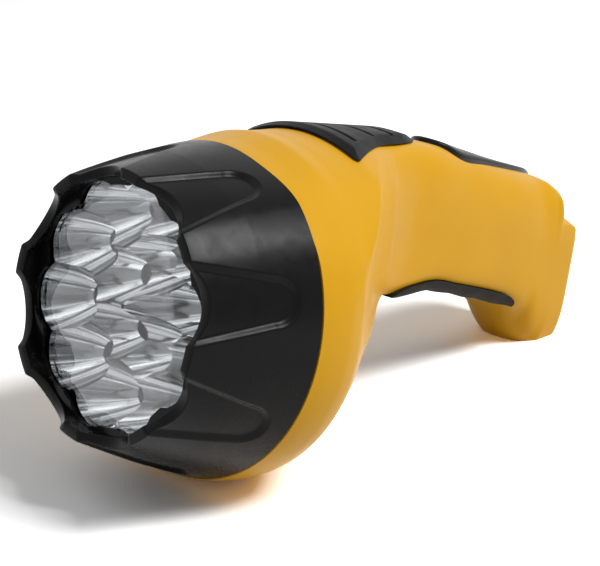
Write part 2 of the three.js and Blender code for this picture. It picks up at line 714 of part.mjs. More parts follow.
// Reflector: a plate and skirt with fifteen parabolic cups that run into each other
function makeReflector() {
  const rear = spigotFront - clearance;
  const shell = turned([
    [0, reflectorFront],
    [reflectorFrontRadius, reflectorFront],
    [reflectorRearRadius, rear],
    [reflectorRearRadius - reflector.skirtWall, rear],
    [reflectorFrontRadius - reflector.skirtWall, reflectorFront + reflector.plate],
    [0, reflectorFront + reflector.plate],
  ], discSides);
  const bowlPoints = cupDepthShares.map((share) => {
    const depth = share * cup.depth;
    return [Math.max(cupReach(depth), cup.holeRadius), cupVertex - depth];
  });
  const neckEnd = cupVertex + cup.neck;
  const rim = bowlPoints[bowlPoints.length - 1];
  const bowl = turned([
    [0, neckEnd + overrun],
    [cup.holeRadius, neckEnd + overrun],
    ...bowlPoints,
    [rim[0], reflectorFront - overrun],
    [0, reflectorFront - overrun],
  ], cup.sides);
  const coat = turned([
    [0, neckEnd],
    [cup.holeRadius + cup.wall, neckEnd],
    ...bowlPoints.map(([radius, place]) => [radius + cup.wall, place]),
    [0, reflectorFront],
  ], cup.coatSides);
  const places = cupPlaces();
  let solid = shell;
  places.forEach(([x, z]) => {
    solid = solid.add(coat.translate([x, 0, z]));
  });
  places.forEach(([x, z]) => {
    solid = solid.subtract(bowl.translate([x, 0, z]));
  });
  addPiece('reflector', solid, finishes.mirrorCoat);
}

// Diode board and the fifteen diodes
function makeLights() {
  const boardRear = ledBoardFront + ledBoard.thickness;
  const board = ring(0, ledBoardRadius, ledBoardFront, boardRear, discSides);
  addPiece('led_board', board, finishes.boardGreen);
  const base = ledBoardFront - clearance;
  const dome = [];
  for (let i = 0; i < diode.domeSteps; i += 1) {
    const turn = (Math.PI / 2) * (i / diode.domeSteps);
    const place = base - diode.length + diode.radius - diode.radius * Math.sin(turn);
    dome.push([diode.radius * Math.cos(turn), place]);
  }
  const body = turned([
    [0, base],
    [diode.flangeRadius, base],
    [diode.flangeRadius, base - diode.flange],
    [diode.radius, base - diode.flange],
    ...dome,
    [0, base - diode.length],
  ], diode.sides);
  cupPlaces().forEach(([x, z], index) => {
    const name = `led_${String(index + 1).padStart(2, '0')}`;
    addPiece(name, body.translate([x, 0, z]), finishes.diodeEpoxy);
  });
}

// Space inside the housing, less the ribs, rails and screw bosses that stand in it
function housingCavity() {
  const chamberFront = cavityShares[0] * bodyLength;
  let space = loftedHousing(cavityShares, innerSides, wall, strip.depth + clearance);
  space = space.add(turned([
    [0, spigotFront - overrun],
    [spigotInnerRadius, spigotFront - overrun],
    [spigotInnerRadius, boardLedge.front],
    [boardLedgeRadius, boardLedge.front],
    [boardLedgeRadius, chamberFront + overrun],
    [0, chamberFront + overrun],
  ]));
  space = space.subtract(below(wall));
  screwPlaces.forEach(([y, z]) => {
    space = space.subtract(crossBar(screw.bossRadius, -bellRadius, bellRadius, y, z, bossSides));
  });
  const cradleFront = switchFront - clearance - cradle.rib;
  const cradleRear = switchRear + clearance + cradle.rib;
  const shelfTop = switchBottom - clearance;
  const shelfBottom = shelfTop - cradle.rib;
  const side = switchBody.halfWidth + cradle.margin;
  const ribTop = roof - wall / 2;
  const frontWall = [batteryFront - bulkhead.reach, batteryFront + bulkhead.grip];
  const rearWall = [batteryRear - bulkhead.grip, batteryRear + bulkhead.reach / 2];
  const ribs = [
    block(-side, side, cradleFront, cradleFront + cradle.rib, shelfBottom, ribTop),
    block(-side, side, cradleRear - cradle.rib, cradleRear, shelfBottom, ribTop),
    block(-side, side, cradleFront, cradleRear, shelfBottom, shelfTop),
    block(-bellRadius, bellRadius, ...frontWall, 0, farOut),
    block(-bellRadius, bellRadius, ...rearWall, 0, farOut),
  ];
  [-1, 1].forEach((hand) => {
    const inner = boardHalfWidth - boardRail.lap;
    const edges = [hand * inner, hand * (inner + boardRail.width)].sort((a, b) => a - b);
    const from = boardFront - boardRail.reach;
    const to = boardFront + chargeBoard.thickness + boardRail.reach;
    const bottom = boardBottom - boardRail.below;
    ribs.push(block(edges[0], edges[1], from, to, bottom, boardTop - boardRail.above));
  });
  ribs.forEach((rib) => {
    space = space.subtract(rib);
  });
  const windowRear = batteryRear + bulkhead.reach;
  const windowFront = batteryFront - bulkhead.reach - overrun;
  const windowSide = batteryHalfWidth - bulkhead.windowSide;
  const collarSide = inletHalfWidth + inlet.collar + clearance;
  const collarReach = inlet.halfHeight + inlet.collar + clearance;
  const pockets = [
    block(
      -batteryHalfWidth - clearance,
      batteryHalfWidth + clearance,
      batteryFront - clearance,
      batteryRear + clearance,
      batteryBottom - clearance,
      batteryTop + clearance,
    ),
    block(
      -windowSide,
      windowSide,
      windowFront,
      windowRear,
      batteryBottom + bulkhead.windowBottom,
      windowTop,
    ),
    block(
      -wireNotch.halfWidth,
      wireNotch.halfWidth,
      windowFront,
      windowRear,
      windowTop - overrun,
      batteryTop + wireNotch.rise,
    ),
    block(
      -boardHalfWidth - clearance,
      boardHalfWidth + clearance,
      boardFront - clearance,
      boardFront + chargeBoard.thickness + clearance,
      boardBottom - clearance,
      boardTop + clearance,
    ),
    block(
      -collarSide,
      collarSide,
      inletFront - clearance,
      bodyLength - wall,
      inletHeight - collarReach,
      inletHeight + collarReach,
    ),
  ];
  pockets.forEach((pocket) => {
    space = space.add(pocket);
  });
  return space;
}

// Openings in the housing's wall for the switch stem, charging inlet, indicator and screws
function cutOpenings(solid) {
  let result = solid;
  const slotSide = stem.halfWidth + clearance;
  const slotFront = stemCentre - stem.halfLength - switchTravel - clearance;
  const slotRear = stemCentre + stem.halfLength + clearance;
  result = result.subtract(block(-slotSide, slotSide, slotFront, slotRear, footBottom, farOut));
  result = result.subtract(block(
    -inletHalfWidth - clearance,
    inletHalfWidth + clearance,
    bodyLength - wall - overrun,
    bodyLength + overrun,
    inletHeight - inlet.halfHeight - clearance,
    inletHeight + inlet.halfHeight + clearance,
  ));
  const lampRadius = indicator.radius + clearance;
  const wallInside = bodyLength - wall - overrun;
  const lampHole = ring(0, lampRadius, wallInside, bodyLength + overrun, indicator.sides);
  result = result.subtract(lampHole.translate([0, 0, indicatorHeight]));
  screwPlaces.forEach(([y, z]) => {
    const shank = screw.shankRadius + clearance;
    const head = screw.headRadius + clearance;
    result = result.subtract(crossBar(shank, -screw.seat - overrun, screw.tip + overrun, y, z, screw.sides));
    result = result.subtract(crossBar(head, -bellRadius, -screw.seat, y, z, holeSides));
  });
  return result;
}

// Two housing halves, split on the torch's middle plane
function makeHousing() {
  let solid = loftedHousing(stationShares, outerSides, 0);
  solid = solid.add(ring(0, spigotOuterRadius, spigotFront, spigot.root));
  solid = solid.subtract(below(0));
  solid = solid.subtract(housingCavity());
  const { lower, upper } = stripOutline(clearance);
  const dropped = lower.map(([y, z]) => [y, z - strip.depth]);
  solid = solid.subtract(sideBar([...dropped, ...upper.reverse()], bellRadius));
  const padSpace = prism(padOutline(clearance), batteryTop - wall, farOut);
  const underPad = loftedHousing(stationShares, outerSides, pad.seat + clearance);
  solid = solid.subtract(padSpace.subtract(underPad));
  solid = cutOpenings(solid);
  const right = block(seam, farOut, -farOut, 2 * farOut, -farOut, farOut);
  const left = block(-farOut, -seam, -farOut, 2 * farOut, -farOut, farOut);
  addPiece('housing_right', solid.intersect(right), finishes.yellowPlastic);
  addPiece('housing_left', solid.intersect(left), finishes.yellowPlastic);
}

// Sliding switch
function makeSwitch() {
  const shell = turned([
    [coverInner, coverFront],
    ...coverProfile,
    [coverInner, coverRear],
  ]);
  let solid = prism(coverOutline(), 0, farOut).intersect(shell);
  const grooveShell = turned([
    [farOut, coverFront],
    ...coverProfile.map(([radius, place]) => [radius - grip.depth, place]),
    [farOut, coverRear],
  ]);
  for (let i = 0; i < grip.grooves; i += 1) {
    const y = coverFront + (grip.firstShare + i * grip.spacingShare) * cover.length;
    const reach = coverHalfWidthAt(y) * grip.reachShare;
    const groove = new THREE.Shape();
    groove.absarc(reach, y, grip.halfLength, -Math.PI / 2, Math.PI / 2, false);
    groove.absarc(-reach, y, grip.halfLength, Math.PI / 2, (3 * Math.PI) / 2, false);
    const outline = groove.getPoints(cornerSteps).map((point) => [point.x, point.y]);
    solid = solid.subtract(prism(outline, 0, farOut).intersect(grooveShell));
  }
  const centre = stemCentre;
  const { halfWidth, halfLength, footHalfWidth, footHalfLength } = stem;
  const rootTop = coverInner + cover.frontThickness / 2;
  solid = solid.add(block(
    -halfWidth,
    halfWidth,
    centre - halfLength,
    centre + halfLength,
    footBottom,
    rootTop,
  ));
  solid = solid.add(block(
    -footHalfWidth,
    footHalfWidth,
    centre - footHalfLength,
    centre + footHalfLength,
    footBottom,
    footTop,
  ));
  const tabBottom = footBottom - stem.tabDepth;
  [-1, 1].forEach((side) => {
    const inner = centre + side * (lever.halfLength + clearance);
    const outer = inner + side * stem.tabLength;
    const [from, to] = [inner, outer].sort((a, b) => a - b);
    solid = solid.add(block(-halfWidth, halfWidth, from, to, tabBottom, footBottom + clearance));
  });
  addPiece('switch_button', solid, finishes.blackPlastic);

  const leverTop = footBottom - clearance;
  const leverBottom = leverTop - lever.height;
  const leverBlock = block(
    -lever.halfWidth,
    lever.halfWidth,
    centre - lever.halfLength,
    centre + lever.halfLength,
    leverBottom,
    leverTop,
  );
  addPiece('switch_lever', leverBlock, finishes.steel);

  const slot = block(
    -lever.halfWidth - clearance,
    lever.halfWidth + clearance,
    centre - lever.halfLength - switchTravel - clearance,
    centre + lever.halfLength + clearance,
    leverBottom - clearance,
    switchTop + overrun,
  );
  const bodyBlock = block(
    -switchBody.halfWidth,
    switchBody.halfWidth,
    switchFront,
    switchRear,
    switchBottom,
    switchTop,
  );
  addPiece('switch_body', bodyBlock.subtract(slot), finishes.steel);
}

// Pad on top of the handle and finger strip under it
function makeGrips() {
  const above = loftedHousing(stationShares, outerSides, -pad.proud);
  const under = loftedHousing(stationShares, outerSides, pad.seat);
  const column = prism(padOutline(0), batteryTop - wall, farOut);
  const padSolid = column.intersect(above).subtract(under);
  addPiece('top_pad', padSolid, finishes.blackPlastic);

  const { lower, upper } = stripOutline(0);
  const bar = sideBar([...lower, ...upper.reverse()], bellRadius);
  const limit = loftedHousing(stationShares, outerSides, -strip.proud - strip.waveHeight * 2);
  addPiece('finger_strip', bar.intersect(limit), finishes.blackRubber);
}

// Battery and its two terminals
function makeBattery() {
  const cell = block(
    -batteryHalfWidth,
    batteryHalfWidth,
    batteryFront,
    batteryRear,
    batteryBottom,
    batteryTop,
  );
  addPiece('battery', cell, finishes.batteryCase);
  [['positive', 1], ['negative', -1]].forEach(([pole, hand]) => {
    const middle = hand * terminalPlace;
    const tab = block(
      middle - terminal.halfWidth,
      middle + terminal.halfWidth,
      terminalFront,
      terminalRear,
      terminalBottom,
      terminalBottom + terminal.thickness,
    );
    addPiece(`battery_terminal_${pole}`, tab, finishes.steel);
  });
}

// Charging inlet with two pins
function makeInlet() {
  const { halfHeight, collar } = inlet;
  const side = inletHalfWidth;
  const collarRear = bodyLength - wall - clearance;
  let body = block(
    -side,
    side,
    inletFront,
    inletRear,
    inletHeight - halfHeight,
    inletHeight + halfHeight,
  );
  body = body.add(block(
    -side - collar,
    side + collar,
    collarRear - inlet.collarThickness,
    collarRear,
    inletHeight - halfHeight - collar,
    inletHeight + halfHeight + collar,
  ));
  const recess = new THREE.Shape();
  const arc = recessHalfWidth - recessHalfHeight;
  recess.absarc(arc, 0, recessHalfHeight, -Math.PI / 2, Math.PI / 2, false);
  recess.absarc(-arc, 0, recessHalfHeight, Math.PI / 2, (3 * Math.PI) / 2, false);
  const hollow = new THREE.ExtrudeGeometry(recess, {
    depth: inlet.recessDepth + overrun,
    bevelEnabled: false,
    curveSegments: cornerSteps,
  });
  const placing = new THREE.Matrix4().makeRotationX(Math.PI / 2);
  placing.setPosition(0, inletRear + overrun, inletHeight);
  body = body.subtract(toSolid(hollow, placing));
  const pinFront = boardFront + chargeBoard.thickness + clearance;
  [['left', -1], ['right', 1]].forEach(([name, hand]) => {
    const x = hand * pinPlace;
    const hole = ring(0, pin.radius + clearance, inletFront - overrun, inletRear, pin.sides);
    body = body.subtract(hole.translate([x, 0, inletHeight]));
    const contact = ring(0, pin.radius, pinFront, pinFront + pin.length, pin.sides);
    addPiece(`charging_pin_${name}`, contact.translate([x, 0, inletHeight]), finishes.steel);
  });
  addPiece('charging_inlet', body, finishes.blackPlastic);
}

// Indicator lamp beside the inlet
function makeIndicator() {
  const lampFront = inletRear - indicator.length;
  const flangeRear = bodyLength - wall - clearance;
  const lamp = turned([
    [0, lampFront],
    [indicator.radius, lampFront],
    [indicator.radius, flangeRear - indicator.flange],
    [indicator.flangeRadius, flangeRear - indicator.flange],
    [indicator.flangeRadius, flangeRear],
    [indicator.radius, flangeRear],
    [indicator.radius, inletRear],
    [0, inletRear],
  ], indicator.sides);
  addPiece('charge_indicator', lamp.translate([0, 0, indicatorHeight]), finishes.componentRed);
}

// Charging board with its two parts
function makeChargingBoard() {
  const panel = block(
    -boardHalfWidth,
    boardHalfWidth,
    boardFront,
    boardFront + chargeBoard.thickness,
    boardBottom,
    boardTop,
  );
  addPiece('charging_board', panel, finishes.boardGreen);
  const parts = [
    ['charge_capacitor', capacitor, finishes.componentRed],
    ['charge_rectifier', rectifier, finishes.blackPlastic],
  ];
  parts.forEach(([name, size, finish]) => {
    const bottom = boardBottom + size.rise;
    const solid = block(
      size.offset - size.halfWidth,
      size.offset + size.halfWidth,
      boardFront - clearance - size.length,
      boardFront - clearance,
      bottom,
      bottom + size.height,
    );
    addPiece(name, solid, finish);
  });
}

// Five equal housing screws
function makeScrews() {
  screwPlaces.forEach(([y, z], index) => {
    const head = crossBar(
      screw.headRadius,
      -screw.seat - clearance - screw.head,
      -screw.seat - clearance,
      y,
      z,
      screw.sides,
    );
    const shank = crossBar(screw.shankRadius, -screw.seat - overrun, screw.tip, y, z, screw.sides);
    addPiece(`housing_screw_${index + 1}`, head.add(shank), finishes.steel);
  });
}

// Wires inside the housing
function makeWires() {
  const section = new THREE.Shape();
  for (let k = 0; k < wireSides; k += 1) {
    const angle = (2 * Math.PI * k) / wireSides;
    const point = [wireRadius * Math.cos(angle), wireRadius * Math.sin(angle)];
    if (k === 0) {
      section.moveTo(...point);
    } else {
      section.lineTo(...point);
    }
  }
  section.closePath();
  Object.entries(wireRoutes).forEach(([name, knots]) => {
    const points = knots.map(([anchor, x, y, z]) => {
      const [anchorX, anchorY, anchorZ] = wireAnchors[anchor];
      return new THREE.Vector3(anchorX + x, anchorY + y, anchorZ + z);
    });
    const path = new THREE.CatmullRomCurve3(points);
    const steps = Math.round(path.getLength() / wireStep);
    const tube = new THREE.ExtrudeGeometry(section, { steps, extrudePath: path });
    const finish = name.includes('return') ? finishes.wireBlack : finishes.wireRed;
    addPiece(name, toSolid(tube), finish);
  });
}

makeBezel();
makeLens();
makeReflector();
makeLights();
makeHousing();
makeSwitch();
makeGrips();
makeBattery();
makeInlet();
makeIndicator();
makeChargingBoard();
makeScrews();
makeWires();

const torch = new THREE.Group();
torch.name = 'torch';
torch.rotation.x = -tilt;
torch.position.z = axisHeight;
torch.add(...meshes);

// The origin lies on the ground below the middle of the torch
const standingTorch = new THREE.Group();
standingTorch.add(torch);
standingTorch.updateMatrixWorld(true);
const bounds = new THREE.Box3().setFromObject(standingTorch, true);
torch.position.y = -(bounds.min.y + bounds.max.y) / 2;
standingTorch.updateMatrixWorld(true);

export default standingTorch;
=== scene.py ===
"""Rechargeable hand torch: the visual model and its studio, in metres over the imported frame.

Shapes are worked out in the torch's own frame, in millimetres: x to the right, s back along
the beam axis from the joint between bezel and housing, and u up to the switch. Torch.to_world
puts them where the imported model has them.
"""

import json
import logging
import math
from dataclasses import dataclass, field
from enum import Enum
from typing import Callable, Optional, Sequence

import bmesh
import bpy
import numpy as np
from mathutils import Matrix, Vector


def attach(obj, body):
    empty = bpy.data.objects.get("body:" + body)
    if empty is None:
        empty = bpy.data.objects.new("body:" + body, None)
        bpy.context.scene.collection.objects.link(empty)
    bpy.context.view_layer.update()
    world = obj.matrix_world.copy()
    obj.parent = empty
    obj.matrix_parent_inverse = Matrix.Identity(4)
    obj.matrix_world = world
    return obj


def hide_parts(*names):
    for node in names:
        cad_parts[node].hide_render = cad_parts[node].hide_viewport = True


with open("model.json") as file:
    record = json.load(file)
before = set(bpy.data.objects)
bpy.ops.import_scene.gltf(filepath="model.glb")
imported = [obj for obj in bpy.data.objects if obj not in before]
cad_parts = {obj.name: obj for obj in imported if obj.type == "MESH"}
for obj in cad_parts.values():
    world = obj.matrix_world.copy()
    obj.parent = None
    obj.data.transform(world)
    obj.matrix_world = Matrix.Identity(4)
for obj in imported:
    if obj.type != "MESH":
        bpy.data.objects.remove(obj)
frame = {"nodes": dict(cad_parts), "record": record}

LOG = logging.getLogger("torch")
MM = 0.001
FULL_TURN = 2 * math.pi

Points = np.ndarray
Profile = Callable[[Points], Points]
Pair = tuple[float, float]
Pairs = tuple[Pair, ...]
Triple = tuple[float, float, float]
Socket = bpy.types.NodeSocket

# Places that the housing shares with what it carries, in millimetres of the torch's frame
BODY_LENGTH = 159.0
SPIGOT_FRONT = -9.6
INLET_HEIGHT = 9.0
INDICATOR_HEIGHT = 17.6
SCREW_PLACES = ((21.98, -29.99), (73.98, 13.06), (73.98, 38.01), (141.0, 31.01), (148.0, -6.97))


class Rider(Enum):
    """The body that a piece moves with."""

    TORCH = "torch_body"
    SLIDER = "switch_slider"


class Cut(Enum):
    """How one solid works on another."""

    AWAY = "DIFFERENCE"
    KEEP = "INTERSECT"
    JOIN = "UNION"


@dataclass(frozen=True)
class Torch:
    """The torch's own frame, as it stands on its bell and its foot."""

    tilt: float = math.radians(14.00004)
    axis_height: float = 49.5492
    joint_place: float = -59.5819

    def to_world(self, points: Points) -> Points:
        """Turns the points back by the tilt, moves them and scales them to metres.

        Args:
            points: (..., 3) array of x, s, u in millimetres.

        Returns:
            The same array shape, x, y, z in metres.
        """
        x, s, u = points[..., 0], points[..., 1], points[..., 2]
        y = s * math.cos(self.tilt) + u * math.sin(self.tilt) + self.joint_place
        z = u * math.cos(self.tilt) - s * math.sin(self.tilt) + self.axis_height
        return np.stack([x, y, z], axis=-1) * MM

    def from_world(self, points: Points) -> Points:
        """The other way: x, y, z in metres to x, s, u in millimetres.

        Args:
            points: (..., 3) array of x, y, z in metres.

        Returns:
            The same array shape, x, s, u in millimetres.
        """
        y = points[..., 1] / MM - self.joint_place
        z = points[..., 2] / MM - self.axis_height
        s = y * math.cos(self.tilt) - z * math.sin(self.tilt)
        u = y * math.sin(self.tilt) + z * math.cos(self.tilt)
        return np.stack([points[..., 0] / MM, s, u], axis=-1)

    def pattern_turn(self) -> Triple:
        """Turn, as Euler angles, that lines a pattern up with the beam axis."""
        return (self.tilt, 0.0, 0.0)


TORCH = Torch()


# ---------------------------------------------------------------- curves and grids


def follow(pairs: Pairs, length: float, size: float) -> Profile:
    """Smooth curve through pairs of shares that never overshoots them.

    Each span is a cubic between two knots. The slope at a knot is the harmonic mean of the
    slopes on both sides, or zero where they differ in sign.

    Args:
        pairs: Share of the length, and share of the size, at each knot.
        length: What the first shares are shares of, in millimetres.
        size: What the second shares are shares of, in millimetres.

    Returns:
        A function from places to values, for whole arrays.
    """
    knots = np.asarray(pairs, float)
    places, values = knots[:, 0] * length, knots[:, 1] * size
    slopes = np.diff(values) / np.diff(places)
    before, after = np.concatenate([slopes[:1], slopes]), np.concatenate([slopes, slopes[-1:]])
    total = np.where(before * after > 0, before + after, 1.0)
    tangents = np.where(before * after > 0, 2 * before * after / total, 0.0)

    def at(place: Points) -> Points:
        """Value of the curve at each place, held level past its ends.

        Args:
            place: Places, in millimetres.

        Returns:
            Values, in the same shape.
        """
        inside = np.clip(np.asarray(place, float), places[0], places[-1])
        i = np.clip(np.searchsorted(places, inside, side="left") - 1, 0, len(slopes) - 1)
        span = places[i + 1] - places[i]
        t = (inside - places[i]) / span
        rise = t * t * (3 - 2 * t)
        bend = tangents[i] * t * (1 - t) ** 2 + tangents[i + 1] * t * t * (t - 1)
        return values[i] * (1 - rise) + values[i + 1] * rise + span * bend

    return at


def soft_step(value: Points, start: float, end: float) -> Points:
    """Rises from 0 at start to 1 at end along a cubic that is level at both."""
    t = np.clip((np.asarray(value, float) - start) / (end - start), 0.0, 1.0)
    return t * t * (3 - 2 * t)


def runs(stops: Sequence[float], counts: Sequence[int]) -> Points:
    """Values from the first stop to the last, with a count of even steps to each next stop."""
    spans = [np.linspace(a, b, n, endpoint=False) for a, b, n in zip(stops, stops[1:], counts)]
    return np.concatenate([*spans, [stops[-1]]])


def circle(radius: float, sides: int) -> Points:
    """Corners of a round outline, as (n, 2) points."""
    angle = np.linspace(0, FULL_TURN, sides, endpoint=False)
    return np.stack([radius * np.cos(angle), radius * np.sin(angle)], axis=-1)


def spline(knots: Sequence[Pair], count: int) -> Points:
    """Uniform Catmull-Rom curve through the knots, with its end knots doubled.

    Args:
        knots: Points in two dimensions.
        count: How many points to return, equal steps of the knots' parameter apart.

    Returns:
        (count, 2) array.
    """
    k = np.asarray(knots, float)
    padded = np.concatenate([k[:1], k, k[-1:]])
    t = np.linspace(0, len(k) - 1, count)
    i = np.minimum(t.astype(int), len(k) - 2)
    f = (t - i)[:, None]
    a, b, c, d = padded[i], padded[i + 1], padded[i + 2], padded[i + 3]
    into, out = (c - a) / 2, (d - b) / 2
    cubic = (2 * b - 2 * c + into + out) * f**3 + (3 * c - 3 * b - 2 * into - out) * f**2
    return cubic + into * f + b


def distance_to_outline(points: Points, outline: Points) -> Points:
    """Shortest distance from each point to a closed outline's straight pieces.

    Args:
        points: (n, 2) array.
        outline: (m, 2) array, in order.

    Returns:
        (n,) array, never negative.
    """
    a = outline
    d = np.roll(outline, -1, axis=0) - a
    length = np.maximum((d**2).sum(1), 1e-12)
    offset = points[:, None, :] - a[None]
    t = np.clip((offset * d[None]).sum(2) / length[None], 0, 1)
    return np.sqrt(((offset - t[..., None] * d[None]) ** 2).sum(2)).min(1)


@dataclass
class Skin:
    """Points and faces of one mesh, gathered from several grids, in the torch's frame."""

    points: list[Points] = field(default_factory=list)
    faces: list[Points] = field(default_factory=list)
    count: int = 0

    def grid(self, rows: Points, wrap: bool = True, cap_first: bool = False,
             cap_last: bool = False) -> "Skin":
        """Adds a grid of four-sided faces; a cap is a fan to the middle of its row.

        Args:
            rows: (rows, columns, 3) array.
            wrap: Whether the last column joins the first.
            cap_first: Closes the first row.
            cap_last: Closes the last row.

        Returns:
            This skin.
        """
        height, width = rows.shape[:2]
        r = np.arange(height - 1)[:, None]
        c = np.arange(width if wrap else width - 1)[None, :]
        n = (c + 1) % width
        quads = np.stack([r * width + c, r * width + n, (r + 1) * width + n,
                          (r + 1) * width + c], axis=-1)
        self.faces.append(quads.reshape(-1, 4) + self.count)
        self.points.append(rows.reshape(-1, 3))
        start, self.count = self.count, self.count + height * width
        for wanted, row in ((cap_first, 0), (cap_last, height - 1)):
            if wanted:
                ring = np.arange(width) + start + row * width
                self.points.append(rows[row].mean(0, keepdims=True))
                hub = np.full(width, self.count)
                self.faces.append(np.stack([ring, np.roll(ring, -1), hub], axis=-1))
                self.count += 1
        return self

    def closed(self, rows: Points) -> "Skin":
        """Adds a grid that is capped at both ends."""
        return self.grid(rows, cap_first=True, cap_last=True)

    def mesh(self, name: str, placed: bool = True) -> bpy.types.Mesh:
        """Makes the mesh, merged where grids meet, with its faces turned outward.

        Args:
            name: Name of the mesh.
            placed: Whether the points are put into the world's frame first.

        Returns:
            The new mesh.
        """
        points = np.concatenate(self.points)
        points = TORCH.to_world(points) if placed else points
        loops = np.concatenate([f.ravel() for f in self.faces]).astype(np.int32)
        sides = np.concatenate([np.full(len(f), f.shape[1]) for f in self.faces])
        starts = np.concatenate([[0], np.cumsum(sides)[:-1]]).astype(np.int32)
        mesh = bpy.data.meshes.new(name)
        mesh.vertices.add(len(points))
        mesh.vertices.foreach_set("co", points.astype(np.float32).ravel())
        mesh.loops.add(len(loops))
        mesh.loops.foreach_set("vertex_index", loops)
        mesh.polygons.add(len(starts))
        mesh.polygons.foreach_set("loop_start", starts)
        mesh.update(calc_edges=True)
        work = bmesh.new()
        work.from_mesh(mesh)
        bmesh.ops.remove_doubles(work, verts=work.verts, dist=2e-6)
        bmesh.ops.dissolve_degenerate(work, edges=work.edges, dist=1e-7)
        bmesh.ops.recalc_face_normals(work, faces=work.faces)
        work.to_mesh(mesh)
        work.free()
        return mesh


def turned(profile: Sequence[Pair], sides: int, centre: Pair = (0.0, 0.0)) -> Points:
    """Rows of a body turned about an axis parallel to the beam axis.

    Args:
        profile: Radius and place of each row, in millimetres.
        sides: Columns round the axis.
        centre: x and u of the axis.

    Returns:
        (rows, sides, 3) array.
    """
    p = np.asarray(profile, float)
    angle = np.linspace(0, FULL_TURN, sides, endpoint=False)[None, :]
    x = p[:, :1] * np.cos(angle) + centre[0]
    u = p[:, :1] * np.sin(angle) + centre[1]
    return np.stack([x, np.broadcast_to(p[:, 1:], x.shape), u], axis=-1)


def ring(angle: Points, radius: Points, place: Points) -> Points:
    """One row round the beam axis.

    Args:
        angle: (n,) directions, from x to u.
        radius: The radius in each direction, or one for all.
        place: The place along the axis in each direction, or one for all.

    Returns:
        (n, 3) array.
    """
    r, s = (np.broadcast_to(np.asarray(value, float), angle.shape) for value in (radius, place))
    return np.stack([r * np.cos(angle), s, r * np.sin(angle)], axis=-1)


def rounded(profile: Sequence[Pair], radius: float, steps: int = 4) -> Points:
    """Rounds the corners of a profile with short arcs drawn as quadratic curves.

    Args:
        profile: Corner points; the first and the last stay as they are.
        radius: How far from a corner its rounding starts, in millimetres.
        steps: Pieces in each rounding.

    Returns:
        (n, 2) array with a run of points in place of each corner.
    """
    p = np.asarray(profile, float)
    t = np.linspace(0, 1, steps + 1)[:, None]
    arcs = []
    for last, corner, following in zip(p[:-2], p[1:-1], p[2:]):
        before, after = last - corner, following - corner
        reach_in, reach_out = (min(radius, size / 2) / max(size, 1e-9)
                               for size in (np.linalg.norm(before), np.linalg.norm(after)))
        start, end = corner + before * reach_in, corner + after * reach_out
        arcs.append(start * (1 - t) ** 2 + 2 * corner * t * (1 - t) + end * t**2)
    return np.concatenate([p[:1], *arcs, p[-1:]])


def rounded_rectangle(half_width: float, half_height: float, radius: float,
                      steps: int = 6) -> Points:
    """Outline of a rectangle whose corners are quarter circles.

    Args:
        half_width: Half of its size along the first axis.
        half_height: Half of its size along the second.
        radius: Radius of the corners.
        steps: Pieces in each corner.

    Returns:
        (n, 2) array.
    """
    turn = np.linspace(0, math.pi / 2, steps + 1)
    corners = []
    for quarter, (sx, sy) in enumerate(((1, 1), (-1, 1), (-1, -1), (1, -1))):
        a = turn + quarter * math.pi / 2
        cx, cy = sx * (half_width - radius), sy * (half_height - radius)
        corners.append(np.stack([cx + radius * np.cos(a), cy + radius * np.sin(a)], axis=-1))
    return np.concatenate(corners)


def bar_rows(outlines: Sequence[Points], places: Sequence[float], centre: Pair,
             along: str = "s") -> Points:
    """Rows of a bar whose section changes along it.

    Args:
        outlines: One (n, 2) outline for each row, with the same number of points.
        places: Where each row lies along the bar.
        centre: Middle of the sections, across the bar.
        along: The frame's axis that the bar follows: x, s or u.

    Returns:
        (rows, n, 3) array.
    """
    o = np.asarray(outlines, float) + np.asarray(centre, float)
    place = np.broadcast_to(np.asarray(places, float)[:, None], o.shape[:2])
    order = {"s": (o[..., 0], place, o[..., 1]), "u": (o[..., 0], o[..., 1], place),
             "x": (place, o[..., 0], o[..., 1])}[along]
    return np.stack(order, axis=-1)


def block_rows(low: Sequence[float], high: Sequence[float], edge: float = 0.0) -> Points:
    """Rows, along u, of a block between two corners, with its edges rounded.

    Each row is a rounded rectangle; the rows near both ends are drawn in along a quarter
    circle of the edge's radius.

    Args:
        low: Lowest x, s, u.
        high: Highest x, s, u.
        edge: Radius of the edges in millimetres; zero leaves them sharp.

    Returns:
        (rows, columns, 3) array.
    """
    half = [(high[i] - low[i]) / 2 for i in (0, 1)]
    centre = ((high[0] + low[0]) / 2, (high[1] + low[1]) / 2)
    if edge == 0.0:
        outline = np.array([[1, 1], [-1, 1], [-1, -1], [1, -1]], float) * half
        return bar_rows([outline, outline], [low[2], high[2]], centre, "u")
    turn = np.linspace(0, math.pi / 2, 4)
    inset = edge * (1 - np.cos(turn))
    rise = edge * (1 - np.sin(turn))
    insets = np.concatenate([inset[::-1], inset])
    places = np.concatenate([low[2] + rise[::-1], high[2] - rise])
    outlines = [rounded_rectangle(half[0] - i, half[1] - i, max(edge - i * 0.5, 0.05), 4)
                for i in insets]
    return bar_rows(outlines, places, centre, "u")


# ---------------------------------------------------------------- solids and pieces


